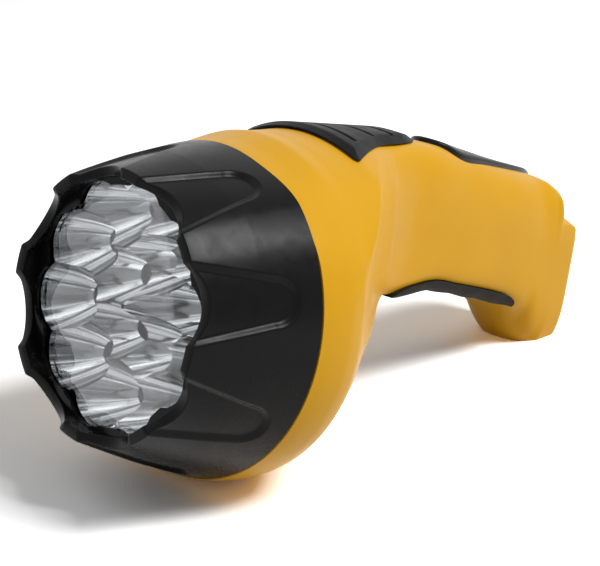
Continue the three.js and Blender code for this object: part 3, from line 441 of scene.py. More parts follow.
class Solid:
    """A closed mesh that other solids are cut from or joined to."""

    def __init__(self, skin: Skin) -> None:
        """Makes the solid from a closed skin."""
        self.thing = bpy.data.objects.new("stock", skin.mesh("stock"))
        bpy.context.scene.collection.objects.link(self.thing)

    def work(self, other: "Solid", how: Cut) -> "Solid":
        """Joins, cuts or intersects this solid with another, which is then removed.

        Args:
            other: The other solid.
            how: What is done with it.

        Returns:
            This solid.
        """
        step = self.thing.modifiers.new("cut", "BOOLEAN")
        step.operation, step.solver, step.object = how.value, "MANIFOLD", other.thing
        graph = bpy.context.evaluated_depsgraph_get()
        made = bpy.data.meshes.new_from_object(self.thing.evaluated_get(graph), depsgraph=graph)
        self.thing.modifiers.clear()
        old, self.thing.data = self.thing.data, made
        bpy.data.meshes.remove(old)
        bpy.data.meshes.remove(other.release())
        return self

    def twin(self) -> "Solid":
        """A second solid of the same shape.

        Returns:
            The second solid, with a mesh of its own.
        """
        other = Solid.__new__(Solid)
        other.thing = self.thing.copy()
        other.thing.data = self.thing.data.copy()
        bpy.context.scene.collection.objects.link(other.thing)
        return other

    def release(self) -> bpy.types.Mesh:
        """Hands over the mesh and removes the working object.

        Returns:
            The mesh.
        """
        mesh = self.thing.data
        bpy.data.objects.remove(self.thing)
        return mesh


@dataclass(frozen=True)
class Piece:
    """One shown piece and what it stands for."""

    name: str
    slot: str
    nodes: tuple[str, ...] = ()
    rider: Rider = Rider.TORCH
    crease: float = math.radians(32)

    def show(self, mesh: bpy.types.Mesh, material: bpy.types.Material) -> None:
        """Makes the object, smooth but for its creases, and ties it to the frame.

        Args:
            mesh: The mesh, already in place.
            material: Its material.
        """
        mesh.name = self.name
        mesh.materials.clear()
        mesh.materials.append(material)
        mesh.shade_smooth()
        mesh.set_sharp_from_angle(angle=self.crease)
        thing = bpy.data.objects.new(self.name, mesh)
        bpy.context.scene.collection.objects.link(thing)
        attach(thing, self.rider.value)
        if self.nodes:
            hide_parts(*self.nodes)
        LOG.info("%s: %d faces", self.name, len(mesh.polygons))


# ---------------------------------------------------------------- materials


def linear(colour: str) -> tuple[float, float, float, float]:
    """Linear colour of an sRGB hex value.

    Args:
        colour: The value, with its number sign.

    Returns:
        Red, green and blue, with an alpha of one.
    """
    c = np.array([int(colour[i:i + 2], 16) / 255 for i in (1, 3, 5)])
    c = np.where(c <= 0.04045, c / 12.92, ((c + 0.055) / 1.055) ** 2.4)
    return (*c.tolist(), 1.0)


def add_node(tree: bpy.types.NodeTree, kind: str, values: Optional[dict] = None,
             **settings: object) -> bpy.types.Node:
    """Adds a node, sets its properties and fills or links its sockets.

    Args:
        tree: The node tree.
        kind: Blender's name of the node.
        values: For each input, by name or number, a plain value or a socket to link from.
        settings: Properties of the node.

    Returns:
        The node.
    """
    node = tree.nodes.new(kind)
    for key, setting in settings.items():
        setattr(node, key, setting)
    for key, value in (values or {}).items():
        if isinstance(value, bpy.types.NodeSocket):
            tree.links.new(value, node.inputs[key])
        else:
            node.inputs[key].default_value = value
    return node


class Recipe:
    """The node tree of a material or a world in the making."""

    def __init__(self, owner: "bpy.types.Material | bpy.types.World") -> None:
        """Starts with an empty tree.

        Args:
            owner: The material or world whose tree it is.
        """
        self.owner = owner
        owner.use_nodes = True
        self.tree = owner.node_tree
        self.tree.nodes.clear()

    def add(self, kind: str, values: Optional[dict] = None, **settings: object) -> bpy.types.Node:
        """Adds a node of a kind that is named without its prefix."""
        return add_node(self.tree, f"ShaderNode{kind}", values, **settings)

    def place(self) -> Socket:
        """Each point's place in the object's own frame."""
        return self.add("TexCoord").outputs["Object"]

    def noise(self, vector: Socket, scale: float, detail: float, **more: float) -> Socket:
        """Noise at a place; more gives other inputs of the node by name."""
        return self.add("TexNoise", {"Vector": vector, "Scale": scale, "Detail": detail,
                                     **more}).outputs[0]

    def spread(self, value: Socket, start: float, end: float, low: float = 0.0,
               high: float = 1.0) -> Socket:
        """Maps the span from start to end onto low to high, held level past its ends."""
        return self.add("MapRange", {"Value": value, "From Min": start, "From Max": end,
                                     "To Min": low, "To Max": high}).outputs[0]

    def pair(self, operation: str, one: Socket, other: Socket) -> Socket:
        """Arithmetic on two values."""
        return self.add("Math", {0: one, 1: other}, operation=operation).outputs[0]

    def mix(self, share: Socket, colour: "str | Socket", shade: str) -> Socket:
        """Blends a colour, a hex value or a socket, into a shade by a share.

        Args:
            share: How much of the shade there is.
            colour: The first colour.
            shade: The second colour, as a hex value.

        Returns:
            Socket of the blend.
        """
        first = linear(colour) if isinstance(colour, str) else colour
        return self.add("Mix", {0: share, 6: first, 7: linear(shade)},
                        data_type="RGBA").outputs[2]

    def bump(self, height: Socket, depth: float, **under: Socket) -> Socket:
        """Bump some millimetres deep, over another one that is given as Normal."""
        return self.add("Bump", {"Height": height, "Distance": depth * MM, "Strength": 1.0,
                                 **under}).outputs[0]

    def two_faced(self, kind: str, lighting: dict, shown: dict) -> bpy.types.Node:
        """Mixes two shaders of one kind by the kind of ray that meets them.

        Args:
            kind: Name of the shader's node, without its prefix.
            lighting: Values of the shader that lights the torch.
            shown: Values of the one that the camera, gloss and clear pieces see.

        Returns:
            The node that mixes them.
        """
        path = self.add("LightPath").outputs
        eye = self.pair("MAXIMUM", path["Is Camera Ray"], path["Is Glossy Ray"])
        eye = self.pair("MAXIMUM", eye, path["Is Transmission Ray"])
        faces = [self.add(kind, values).outputs[0] for values in (lighting, shown)]
        return self.add("MixShader", {0: eye, 1: faces[0], 2: faces[1]})

    def close(self, shader: bpy.types.Node) -> bpy.types.Material:
        """Links the shader to the material's output and hands the material over."""
        self.add("OutputMaterial", {"Surface": shader.outputs[0]})
        return self.owner

    def principled(self, values: dict) -> bpy.types.Material:
        """Closes the material with the general shader."""
        return self.close(self.add("BsdfPrincipled", values))


def per_metre(millimetres: float) -> float:
    """Scale of a noise whose features are this many millimetres apart."""
    return 1.0 / (millimetres * MM)


# Spans that most values of a noise lie in: the usual one, and a wider one for less contrast
MOST_OF_NOISE = (0.3, 0.7)
WIDE_OF_NOISE = (0.25, 0.75)


@dataclass(frozen=True)
class Moulded:
    """Injection-moulded plastic or rubber: an even colour that drifts slightly, a fine
    spark-eroded grain from the mould, and gloss that varies where it has been handled."""

    name: str
    colour: str
    shade: str
    roughness: Pair
    grain: float = 0.45
    grain_depth: float = 0.004
    grain_harshness: float = 0.62
    sink: float = 14.0
    sink_depth: float = 0.02
    smear_share: float = 0.35
    smear_twist: float = 0.6
    ior: float = 1.53
    gleam: float = 0.5

    def build(self) -> bpy.types.Material:
        """Makes the material.

        The colour mixes between two tones by a noise of the sink marks' size. The bump adds
        the grain to long shallow waves. The roughness moves between its two ends by a twisted
        noise, a share of the sink marks' size, for the smears of handling.

        Returns:
            The material.
        """
        recipe = Recipe(bpy.data.materials.new(self.name))
        place = recipe.place()
        waves = recipe.noise(place, per_metre(self.sink), detail=3.0)
        grain = recipe.noise(place, per_metre(self.grain), detail=4.0,
                             Roughness=self.grain_harshness)
        smear = recipe.noise(place, per_metre(self.sink * self.smear_share), detail=5.0,
                             Distortion=self.smear_twist)
        long_bump = recipe.bump(waves, self.sink_depth)
        return recipe.principled({
            "Base Color": recipe.mix(waves, self.colour, self.shade),
            "Roughness": recipe.spread(smear, *MOST_OF_NOISE, *self.roughness),
            "IOR": self.ior, "Specular IOR Level": self.gleam,
            "Normal": recipe.bump(grain, self.grain_depth, Normal=long_bump)})


@dataclass(frozen=True)
class Metal:
    """Bare or plated metal: a reflecting colour, with fine drawn or rolled lines."""

    name: str
    colour: str
    shade: str
    roughness: Pair
    line: float = 0.3
    depth: float = 0.004
    stretch: Triple = (1.0, 0.06, 1.0)

    def build(self) -> bpy.types.Material:
        """Makes the material.

        A noise stretched along the drawing direction gives lines that shift the colour, the
        roughness and the bump together.

        Returns:
            The material.
        """
        recipe = Recipe(bpy.data.materials.new(self.name))
        drawn = recipe.add("Mapping", {"Vector": recipe.place(), "Scale": self.stretch,
                                       "Rotation": TORCH.pattern_turn()}).outputs[0]
        lines = recipe.noise(drawn, per_metre(self.line), detail=4.0)
        return recipe.principled({
            "Base Color": recipe.mix(lines, self.colour, self.shade), "Metallic": 1.0,
            "Roughness": recipe.spread(lines, *WIDE_OF_NOISE, *self.roughness),
            "Normal": recipe.bump(lines, self.depth)})


@dataclass(frozen=True)
class Side:
    """One side of a cup, over which painted reflection or painted shade is laid: the way it
    faces, the cosines that it fades in between, and its share where it is full."""

    way: Triple
    span: Pair
    most: float = 1.0

    def share(self, recipe: Recipe, heading: Socket) -> Socket:
        """How much of this side there is in each heading."""
        dot = recipe.add("VectorMath", {0: heading, 1: self.way}, operation="DOT_PRODUCT")
        return recipe.spread(dot.outputs["Value"], *self.span, high=self.most)


@dataclass(frozen=True)
class MirrorFilm:
    """Aluminium film on a moulded cup: bright, with lines that run down into the cup, and
    painted reflection, painted shade and painted glints that lie the same way in every cup.
    """

    name: str
    colour: str
    # colour of the streaks, and of the painted dark band and painted ridge shade
    shade: str
    # colour of the painted glints
    glint: str
    roughness: Pair
    broad: Pair = (2.1, 0.4)
    fine: Pair = (6.5, 0.7)
    fine_share: float = 0.3
    streak: Pair = (0.46, 0.58)
    # span of the fine noise that gives the painted glints
    gleam: Pair = (0.5, 0.42)
    plain: float = 0.3
    depth: float = 0.035
    # broad painted dark band: a painted reflection of dark surroundings on one side of each cup
    painted_dark_band: Side = Side((-0.985, -0.17, 0.0), (0.9, 0.96), 0.75)
    # narrower painted shade at the ridges, on the side opposite the painted dark band
    near: Side = Side((0.9, 0.44, 0.0), (0.8, 0.97), 0.6)
    # side on which the streaks are full and the painted glints lie
    reflection_side: Side = Side((-0.2, -0.98, 0.0), (0.15, 0.5))

    def lines(self, recipe: Recipe, offset: Socket, heading: Socket, size: Pair) -> Socket:
        """Noise whose lines run down into the cup.

        The heading goes round a circle in the noise, so there are as many lines round the cup
        as the circle is long. A share of the offset makes them drift on their way down.

        Args:
            recipe: The material in the making.
            offset: Each point's offset from the cup's axis.
            heading: The same, made one long.
            size: Radius of the circle, and the share of the offset.

        Returns:
            The noise.
        """
        radius, drift = size
        round_cup = recipe.add("VectorMath", {0: heading, "Scale": radius}, operation="SCALE")
        drifted = recipe.add("VectorMath", {0: offset, 1: (drift, drift, drift),
                                            2: round_cup.outputs[0]}, operation="MULTIPLY_ADD")
        return recipe.noise(drifted.outputs[0], 1.0, detail=3.0)

    def build(self) -> bpy.types.Material:
        """Makes the material.

        The cup's own map gives each point's offset from its axis. Broad and fine lines are
        blended; they stand partly for polish lines and partly for painted reflection, and darken
        the film most on one side, where painted glints also lie. A broad dark band to one side is
        a painted reflection of dark surroundings, and a narrower one opposite is painted shade at
        the ridges; both lie the same way in every cup.

        Returns:
            The material.
        """
        recipe = Recipe(bpy.data.materials.new(self.name))
        offset = recipe.add("UVMap", uv_map="cup").outputs[0]
        heading = recipe.add("VectorMath", {0: offset}, operation="NORMALIZE").outputs[0]
        broad, fine = (self.lines(recipe, offset, heading, s) for s in (self.broad, self.fine))
        blend = recipe.add("Mix", {0: self.fine_share, 2: broad, 3: fine}).outputs[0]
        # streaks: polish lines that also carry painted reflection, full on one side
        reflection_side = self.reflection_side.share(recipe, heading)
        streaks = recipe.pair("MULTIPLY", recipe.spread(blend, *self.streak),
                              recipe.spread(reflection_side, 0.0, 1.0, low=self.plain))
        # painted dark reflection band and painted shade at the ridges, the same in every cup
        painted_dark = recipe.pair("MAXIMUM", self.painted_dark_band.share(recipe, heading),
                           self.near.share(recipe, heading))
        # painted glints on the reflection side, mixed into the film's colour
        painted_glint = recipe.pair("MULTIPLY", recipe.spread(fine, *self.gleam), reflection_side)
        film = recipe.mix(painted_glint, self.colour, self.glint)
        return recipe.principled({
            "Base Color": recipe.mix(recipe.pair("MAXIMUM", streaks, painted_dark), film, self.shade),
            "Metallic": 1.0,
            "Roughness": recipe.spread(fine, *MOST_OF_NOISE, *self.roughness),
            "Normal": recipe.bump(blend, self.depth)})


@dataclass(frozen=True)
class Clear:
    """Clear moulded plastic or epoxy: it bends light, and carries faint flow waves."""

    name: str
    colour: str
    roughness: Pair
    ior: float
    wave: float = 6.0
    depth: float = 0.004

    def build(self) -> bpy.types.Material:
        """Makes the material: full transmission, with a noise in its roughness and bump.

        Returns:
            The material.
        """
        recipe = Recipe(bpy.data.materials.new(self.name))
        waves = recipe.noise(recipe.place(), per_metre(self.wave), detail=2.0)
        return recipe.principled({
            "Base Color": linear(self.colour), "IOR": self.ior, "Transmission Weight": 1.0,
            "Roughness": recipe.spread(waves, *MOST_OF_NOISE, *self.roughness),
            "Normal": recipe.bump(waves, self.depth)})


# Glossy ABS shell: a warm yellow with a soft sheen and hardly any grain
YELLOW_ABS = Moulded("moulded_yellow_abs", "#f6b921", "#efaf1a", (0.32, 0.42), grain=0.5,
                     grain_depth=0.003, gleam=0.15)
# Polished black ABS of the bezel: deep black with broad, clean highlights; the gleam is kept
# low, so that the white surroundings don't turn it grey
BLACK_ABS = Moulded("polished_black_abs", "#09090a", "#0d0d0e", (0.22, 0.32), grain=0.6,
                    grain_depth=0.003, gleam=0.1)
# Satin black ABS of the cover: the mould's spark-eroded grain makes it greyer
SATIN_ABS = Moulded("spark_eroded_black_abs", "#131314", "#19191b", (0.40, 0.52), grain=0.45,
                    grain_depth=0.02, gleam=0.08)
# Polished black ABS of the pad: glossy, so that its far side shows the bright surroundings
GLOSS_ABS = Moulded("polished_black_inlay", "#09090a", "#0e0e0f", (0.2, 0.3), grain=0.6,
                    grain_depth=0.002, gleam=0.14)
# Soft rubber of the finger strip: dull, with a dry even grain
SOFT_RUBBER = Moulded("moulded_black_rubber", "#201f1d", "#282624", (0.62, 0.78), grain=0.5,
                      grain_depth=0.02, ior=1.5, gleam=0.12)
# Red phenolic cases of small parts: dull, slightly mottled
RED_CASE = Moulded("moulded_red_case", "#a8352c", "#972e27", (0.35, 0.5))
# Shrink-wrapped battery case: dark grey film with a slight sheen
BATTERY_FILM = Moulded("battery_film", "#30343a", "#3a3f46", (0.35, 0.5), sink=9.0)
# Extruded insulation of the wires: soft sheen, even colour
RED_PVC = Moulded("extruded_red_pvc", "#b3201c", "#a61d19", (0.4, 0.5))
BLACK_PVC = Moulded("extruded_black_pvc", "#1c1c1e", "#232326", (0.4, 0.5))
# Solder mask over glass cloth: green with the weave's mottling
SOLDER_MASK = Moulded("solder_mask_on_glass_cloth", "#1f6b3a", "#175530", (0.35, 0.5),
                      grain=0.6, grain_depth=0.01, sink=2.0)
# Vacuum-metallised plastic: bright aluminium film, streaked down the cups where the mould was
# polished; the streaks are drawn about three times as coarse as real ones, so that they show,
# and they also carry painted reflection, strongest on one side, where painted glints lie.
# A broad dark band on one side of each cup is a painted reflection of dark surroundings, and
# makes each cup look deep
MIRROR_COAT = MirrorFilm("metallised_coat_painted_reflection", "#e4e5e5", "#26292d", "#f9fafa", (0.06, 0.13))
# Nickel-plated steel pins and tabs: grey, with drawn lines
PLATED_STEEL = Metal("nickel_plated_steel", "#c9ccd0", "#aab0b6", (0.22, 0.38))
# Polycarbonate window: clear and glossy
CLEAR_POLYCARBONATE = Clear("clear_polycarbonate", "#fbfdff", (0.0, 0.02), 1.585)
# Cast epoxy of the diodes: clear, and slightly milky at its foot
CAST_EPOXY = Clear("cast_clear_epoxy", "#f4f6f4", (0.02, 0.08), 1.53)
# Phosphor over the diode's chip: a dull lemon yellow
PHOSPHOR = Moulded("diode_phosphor", "#e8d45a", "#dcc648", (0.5, 0.7))


class Wardrobe:
    """Builds each finish once and hands it out by its material slot."""

    def __init__(self) -> None:
        """Sets the finish of every slot that the record has; none is built yet."""
        self.made: dict[str, bpy.types.Material] = {}
        self.by_slot = {
            "yellow_shell": YELLOW_ABS, "black_gloss": BLACK_ABS, "black_rubber": SOFT_RUBBER,
            "clear_lens": CLEAR_POLYCARBONATE, "mirror_coat": MIRROR_COAT,
            "circuit_board": SOLDER_MASK, "led_epoxy": CAST_EPOXY, "steel": PLATED_STEEL,
            "switch_case": PLATED_STEEL, "battery_case": BATTERY_FILM,
            "red_component": RED_CASE, "red_insulation": RED_PVC,
            "black_insulation": BLACK_PVC,
        }

    def get(self, finish: "Moulded | Metal | MirrorFilm | Clear") -> bpy.types.Material:
        """The material of a finish, built when it is first asked for.

        Args:
            finish: The finish.

        Returns:
            Its material.
        """
        if finish.name not in self.made:
            self.made[finish.name] = finish.build()
        return self.made[finish.name]

    def slot(self, slot: str) -> bpy.types.Material:
        """The material of a slot."""
        return self.get(self.by_slot[slot])

    def dress_nodes(self, nodes: dict[str, bpy.types.Object], slots: dict[str, str]) -> None:
        """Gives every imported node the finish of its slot.

        Args:
            nodes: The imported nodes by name.
            slots: The slot of each node.
        """
        for name, thing in nodes.items():
            material = self.slot(slots[name])
            if not thing.data.materials:
                thing.data.materials.append(material)
            for place in thing.material_slots:
                place.material = material


# ---------------------------------------------------------------- housing


@dataclass
class BodyForm:
    """Outer form of the housing: a round bell that turns into a squarer handle."""

    length: float = BODY_LENGTH
    bell_length: float = 70.0
    bell: float = 48.3
    blend: float = 5.0
    bell_radius: Pairs = ((0, 0.98), (0.06, 0.995), (0.13, 1), (0.2, 0.985), (0.29, 0.91),
                          (0.4, 0.79), (0.51, 0.67), (0.66, 0.52), (0.83, 0.32), (0.92, 0.19),
                          (1, 0.08))
    bell_rise: Pairs = ((0, 0), (0.6, 0), (0.75, 0.06), (0.83, 0.125), (0.92, 0.19), (1, 0.25))
    top: Pairs = ((0, 0.888), (0.032, 0.912), (0.06, 0.941), (0.09, 0.971), (0.125, 0.994),
                  (0.155, 1.004), (0.18, 1.014), (0.21, 1.027), (0.481, 1.027), (0.532, 1.018),
                  (0.633, 0.97), (0.747, 0.917), (0.848, 0.88), (0.886, 0.866), (0.91, 0.85),
                  (0.924, 0.825), (0.933, 0.78), (0.939, 0.72), (0.9415, 0.66), (0.944, 0.64),
                  (0.985, 0.625), (0.995, 0.61), (1, 0.575))
    flat: Pair = (0.48, 0.96)
    shy: float = 0.027
    shy_span: Pair = (0.1, 0.5)
    bottom: Pairs = ((0, 0.083), (0.38, 0.083), (0.42, 0.075), (0.46, 0.087), (0.54, 0.112),
                     (0.61, 0.085), (0.73, 0.033), (0.823, -0.025), (0.848, -0.08),
                     (0.873, -0.17), (0.892, -0.245), (0.91, -0.31), (0.93, -0.36), (0.95, -0.42),
                     (1, -0.42))
    half_width: Pairs = ((0, 0.92), (0.09, 0.92), (0.127, 0.875), (0.177, 0.775),
                         (0.228, 0.655), (0.3, 0.49), (0.37, 0.362), (0.45, 0.3175),
                         (0.55, 0.311), (0.7, 0.31), (0.99, 0.31), (1, 0.3))
    centre: Pairs = ((0, 0.29), (0.44, 0.29), (0.53, 0.41), (0.76, 0.41), (0.85, 0.29),
                     (0.9, 0.12), (1, 0.1))
    upper_power: Pairs = ((0, 3.4), (0.3, 3.4), (0.44, 4), (0.64, 2.9), (0.86, 2.9),
                          (0.92, 4.5), (0.94, 9), (1, 9))
    lower_power: Pairs = ((0, 5), (0.82, 5), (0.88, 2.6), (1, 2.6))
    beside_knots: tuple[float, ...] = (-0.004, -0.002, 0, 0.002, 0.004)

    def __post_init__(self) -> None:
        """Makes the curves."""
        self.bell_at = follow(self.bell_radius, self.bell_length, self.bell)
        self.rise_at = follow(self.bell_rise, self.bell_length, self.bell)
        self.top_at = follow(self.top, self.length, self.bell)
        self.bottom_at = follow(self.bottom, self.length, self.bell)
        self.half_width_at = follow(self.half_width, self.length, self.bell)
        self.centre_at = follow(self.centre, self.length, self.bell)
        self.upper_at = follow(self.upper_power, self.length, 1)
        self.lower_at = follow(self.lower_power, self.length, 1)

    def reach(self, s: Points, angle: Points, inset: float = 0.0, floor: float = 0.0) -> Points:
        """Distance from a section's centre to the surface.

        The handle is a superellipse with its own power above and below, limited by the roof's
        circle. The bell is a circle, a little smaller above and drawn down to the roof's near
        the top. The larger counts, with a parabola of the blend's width where they are close.

        Args:
            s: Places along the torch.
            angle: Directions about the section's centre; broadcast against s.
            inset: How far the surface is drawn in; it also looks that far ahead and behind.
            floor: How much the underside is raised.

        Returns:
            The reach in millimetres.
        """
        around = (s - inset, s, s + inset) if inset > 0 else (s,)
        centre = self.centre_at(s)
        top = np.minimum.reduce([self.top_at(p) for p in around]) - inset
        bottom = np.maximum.reduce([self.bottom_at(p) for p in around]) + inset + floor
        half = np.minimum.reduce([self.half_width_at(p) for p in around]) - inset
        bell = np.minimum.reduce([self.bell_at(p) for p in around]) - inset
        upper = np.sin(angle) >= 0
        power = np.where(upper, self.upper_at(s), self.lower_at(s))
        height = np.where(upper, top - centre, centre - bottom)
        square = (np.abs(np.cos(angle) / half) ** power
                  + np.abs(np.sin(angle) / height) ** power) ** (-1 / power)
        handle = np.minimum(square, self.to_circle(-centre, top, angle))
        bell = bell * (1 - self.shy * soft_step(np.sin(angle), *self.shy_span))
        bell = bell - np.maximum(bell - top, 0) * soft_step(np.sin(angle), *self.flat)
        round_part = self.to_circle(self.rise_at(s) - centre, bell, angle)
        near = np.maximum(self.blend - np.abs(round_part - handle), 0)
        both = np.maximum(round_part, handle) + near**2 / (4 * self.blend)
        return np.where(s > self.bell_length, handle, both)

    @staticmethod
    def to_circle(offset: Points, radius: Points, angle: Points) -> Points:
        """Distance to a circle whose centre lies above the section's centre by the offset."""
        across = offset * np.cos(angle)
        return offset * np.sin(angle) + np.sqrt(np.maximum(radius**2 - across**2, 0))

    def rows(self, places: Points, sides: int, inset: float = 0.0, floor: float = 0.0) -> Points:
        """Rows of the surface at the given places, as (rows, sides, 3).

        Args:
            places: Places along the torch.
            sides: Points in each row.
            inset: How far the surface is drawn in.
            floor: How much the underside is raised.

        Returns:
            (rows, sides, 3) array.
        """
        s = places[:, None]
        angle = np.linspace(0, FULL_TURN, sides, endpoint=False)[None, :]
        reach = self.reach(s, angle, inset, floor)
        u = self.centre_at(s) + reach * np.sin(angle)
        return np.stack([reach * np.cos(angle), np.broadcast_to(s, reach.shape), u], axis=-1)

    def roof(self, x: Points, s: Points, offset: float = 0.0) -> Points:
        """Height of the upper surface over x: the lower of the superellipse and the circle.

        Args:
            x: Distances from the middle plane.
            s: Places along the torch.
            offset: How far the surface is grown.

        Returns:
            Heights, in the arrays' shape.
        """
        centre, top = self.centre_at(s), self.top_at(s) + offset
        half, power = self.half_width_at(s) + offset, self.upper_at(s)
        share = np.clip(np.abs(x) / half, 0, 1)
        square = centre + (top - centre) * (1 - share**power) ** (1 / power)
        return np.minimum(square, np.sqrt(np.maximum(top**2 - x**2, 0)))

    def places(self, step: float, first: float = 0.0, last: float = 1.0) -> Points:
        """Places from end to end, closer together where the form turns quickly.

        Args:
            step: Distance between the even places.
            first: Share of the length at which they start.
            last: Share at which they end.

        Returns:
            The places in order.
        """
        even = np.arange(first * self.length, last * self.length, step)
        knots = np.concatenate([np.array(t)[:, 0] for t in (self.top, self.bottom)])
        near = (knots[:, None] + np.array(self.beside_knots)[None]).ravel()
        near = near[(near >= first) & (near <= last)] * self.length
        return np.unique(np.round(np.concatenate([even, near, [last * self.length]]), 2))


@dataclass
class Housing:
    """The yellow shell in two halves, with the openings and seats of what it carries.

    A fineness is the step along a loft and its count of sides.
    """

    form: BodyForm = field(default_factory=BodyForm)
    wall: float = 2.3
    seam: float = 0.04
    clearance: float = 0.3
    spigot_outer: float = 40.43
    spigot_inner: float = 37.63
    spigot_root: float = 2.0
    ledge_inner: float = 34.53
    ledge_front: float = 1.3
    ledge_rear: float = 5.5
    fine: tuple[float, int] = (1.1, 288)
    medium: tuple[float, int] = (2.0, 144)
    coarse: tuple[float, int] = (4.0, 96)
    hollow_ends: Pair = (0.03, 0.98)
    strip_steps: int = 90
    pad_bottom: float = 31.7
    slot_low: Triple = (-2.8, 48.68, 44.8)
    slot_high: Pair = (2.8, 61.28)
    inlet_half: Pair = (9.5, 5.1)
    inlet_depth: float = 4.0
    lamp_radius: float = 1.8
    lamp_sides: int = 32
    pocket_radius: float = 3.0
    pocket: Pair = (-60.0, -6.0)
    pocket_sides: int = 40
    past: float = 1.0
    far: float = 200.0

    def loft(self, fineness: tuple[float, int], inset: float = 0.0, floor: float = 0.0,
             ends: Pair = (0.0, 1.0)) -> Solid:
        """Closed body lofted between two shares of the length.

        Args:
            fineness: Step along the loft, and count of sides.
            inset: How far the surface is drawn in.
            floor: How much the underside is raised.
            ends: The two shares.

        Returns:
            The solid.
        """
        step, sides = fineness
        rows = self.form.rows(self.form.places(step, *ends), sides, inset, floor)
        return Solid(Skin().closed(rows))

    def bar_x(self, outline: Points, start: float, end: float, centre: Pair) -> Solid:
        """Bar along x whose outline lies about a centre given as s and u."""
        return Solid(Skin().closed(bar_rows([outline, outline], [start, end], centre, "x")))

    def block(self, low: Sequence[float], high: Sequence[float]) -> Solid:
        """Plain block."""
        return Solid(Skin().closed(block_rows(low, high)))

    def tube(self, profile: Sequence[Pair], sides: int = 144,
             centre: Pair = (0.0, 0.0)) -> Solid:
        """Body turned from a profile, closed flat at both ends."""
        return Solid(Skin().closed(turned(profile, sides, centre)))

    def ground(self, level: float) -> Solid:
        """Everything under a level above the ground, turned by the torch's tilt.

        Args:
            level: The level, in millimetres.

        Returns:
            The solid to cut away.
        """
        square = np.array([[1, 1], [-1, 1], [-1, -1], [1, -1]], float) * (self.far, 2 * self.far)
        corners = np.stack([np.insert(square, 2, height, axis=1) for height in (-self.far, level)])
        return Solid(Skin().closed(TORCH.from_world(corners * MM)))

    def strip_seat(self, strip: "FingerStrip") -> Solid:
        """Space for the finger strip, with its clearance.

        Args:
            strip: The finger strip.

        Returns:
            The solid to cut away.
        """
        s, low, high = strip.side(self.clearance, self.strip_steps)
        outline = np.concatenate([np.stack([s, low - strip.depth], -1),
                                  np.stack([s, high], -1)[::-1]])
        return self.bar_x(outline, -self.form.bell, self.form.bell, (0.0, 0.0))

    def pad_seat(self, pad: "HandlePad") -> Solid:
        """Space for the pad: its outline over a surface sunk by the seat's depth.

        Args:
            pad: The pad.

        Returns:
            The solid to cut away.
        """
        outline = pad.outline(self.clearance)
        rows = bar_rows([outline, outline], [self.pad_bottom, self.far], (0.0, 0.0), "u")
        under = self.loft(self.medium, pad.seat + self.clearance)
        return Solid(Skin().closed(rows)).work(under, Cut.AWAY)

    def hollow(self, strip: "FingerStrip") -> Solid:
        """Space inside the walls, open to the front through the ledge and the spigot.

        Args:
            strip: The finger strip, whose depth the lower wall makes room for.

        Returns:
            The solid to cut away.
        """
        space = self.loft(self.coarse, self.wall, strip.depth + self.clearance, self.hollow_ends)
        space.work(self.ground(self.wall), Cut.AWAY)
        return space.work(self.tube([
            (self.spigot_inner, SPIGOT_FRONT - self.past), (self.spigot_inner, self.ledge_front),
            (self.ledge_inner, self.ledge_front), (self.ledge_inner, self.ledge_rear)]), Cut.JOIN)

    def build(self, wardrobe: Wardrobe, strip: "FingerStrip", pad: "HandlePad") -> None:
        """Makes both halves and dresses them.

        Args:
            wardrobe: Where the finishes come from.
            strip: The finger strip, for its seat.
            pad: The pad, for its seat.
        """
        body = self.loft(self.fine)
        body.work(self.tube([(self.spigot_outer, SPIGOT_FRONT),
                             (self.spigot_outer, self.spigot_root)]), Cut.JOIN)
        body.work(self.ground(0.0), Cut.AWAY)
        body.work(self.hollow(strip), Cut.AWAY)
        body.work(self.strip_seat(strip), Cut.AWAY)
        body.work(self.pad_seat(pad), Cut.AWAY)
        body.work(self.block(self.slot_low, (*self.slot_high, self.far)), Cut.AWAY)
        width, height = self.inlet_half
        inside, outside = self.form.length - self.inlet_depth, self.form.length + self.past
        body.work(self.block((-width, inside, INLET_HEIGHT - height),
                             (width, outside, INLET_HEIGHT + height)), Cut.AWAY)
        body.work(self.tube([(self.lamp_radius, inside), (self.lamp_radius, outside)],
                            self.lamp_sides, (0.0, INDICATOR_HEIGHT)), Cut.AWAY)
        pocket = circle(self.pocket_radius, self.pocket_sides)
        for place in SCREW_PLACES:
            body.work(self.bar_x(pocket, *self.pocket, place), Cut.AWAY)
        for name, solid, side in (("right", body.twin(), 1), ("left", body, -1)):
            low, high = sorted((side * self.seam, side * self.far))
            solid.work(self.block((low, -self.far, -self.far), (high, 2 * self.far, self.far)),
                       Cut.KEEP)
            piece = Piece(f"shell_{name}", "yellow_shell", (f"housing_{name}",))
            piece.show(solid.release(), wardrobe.slot("yellow_shell"))


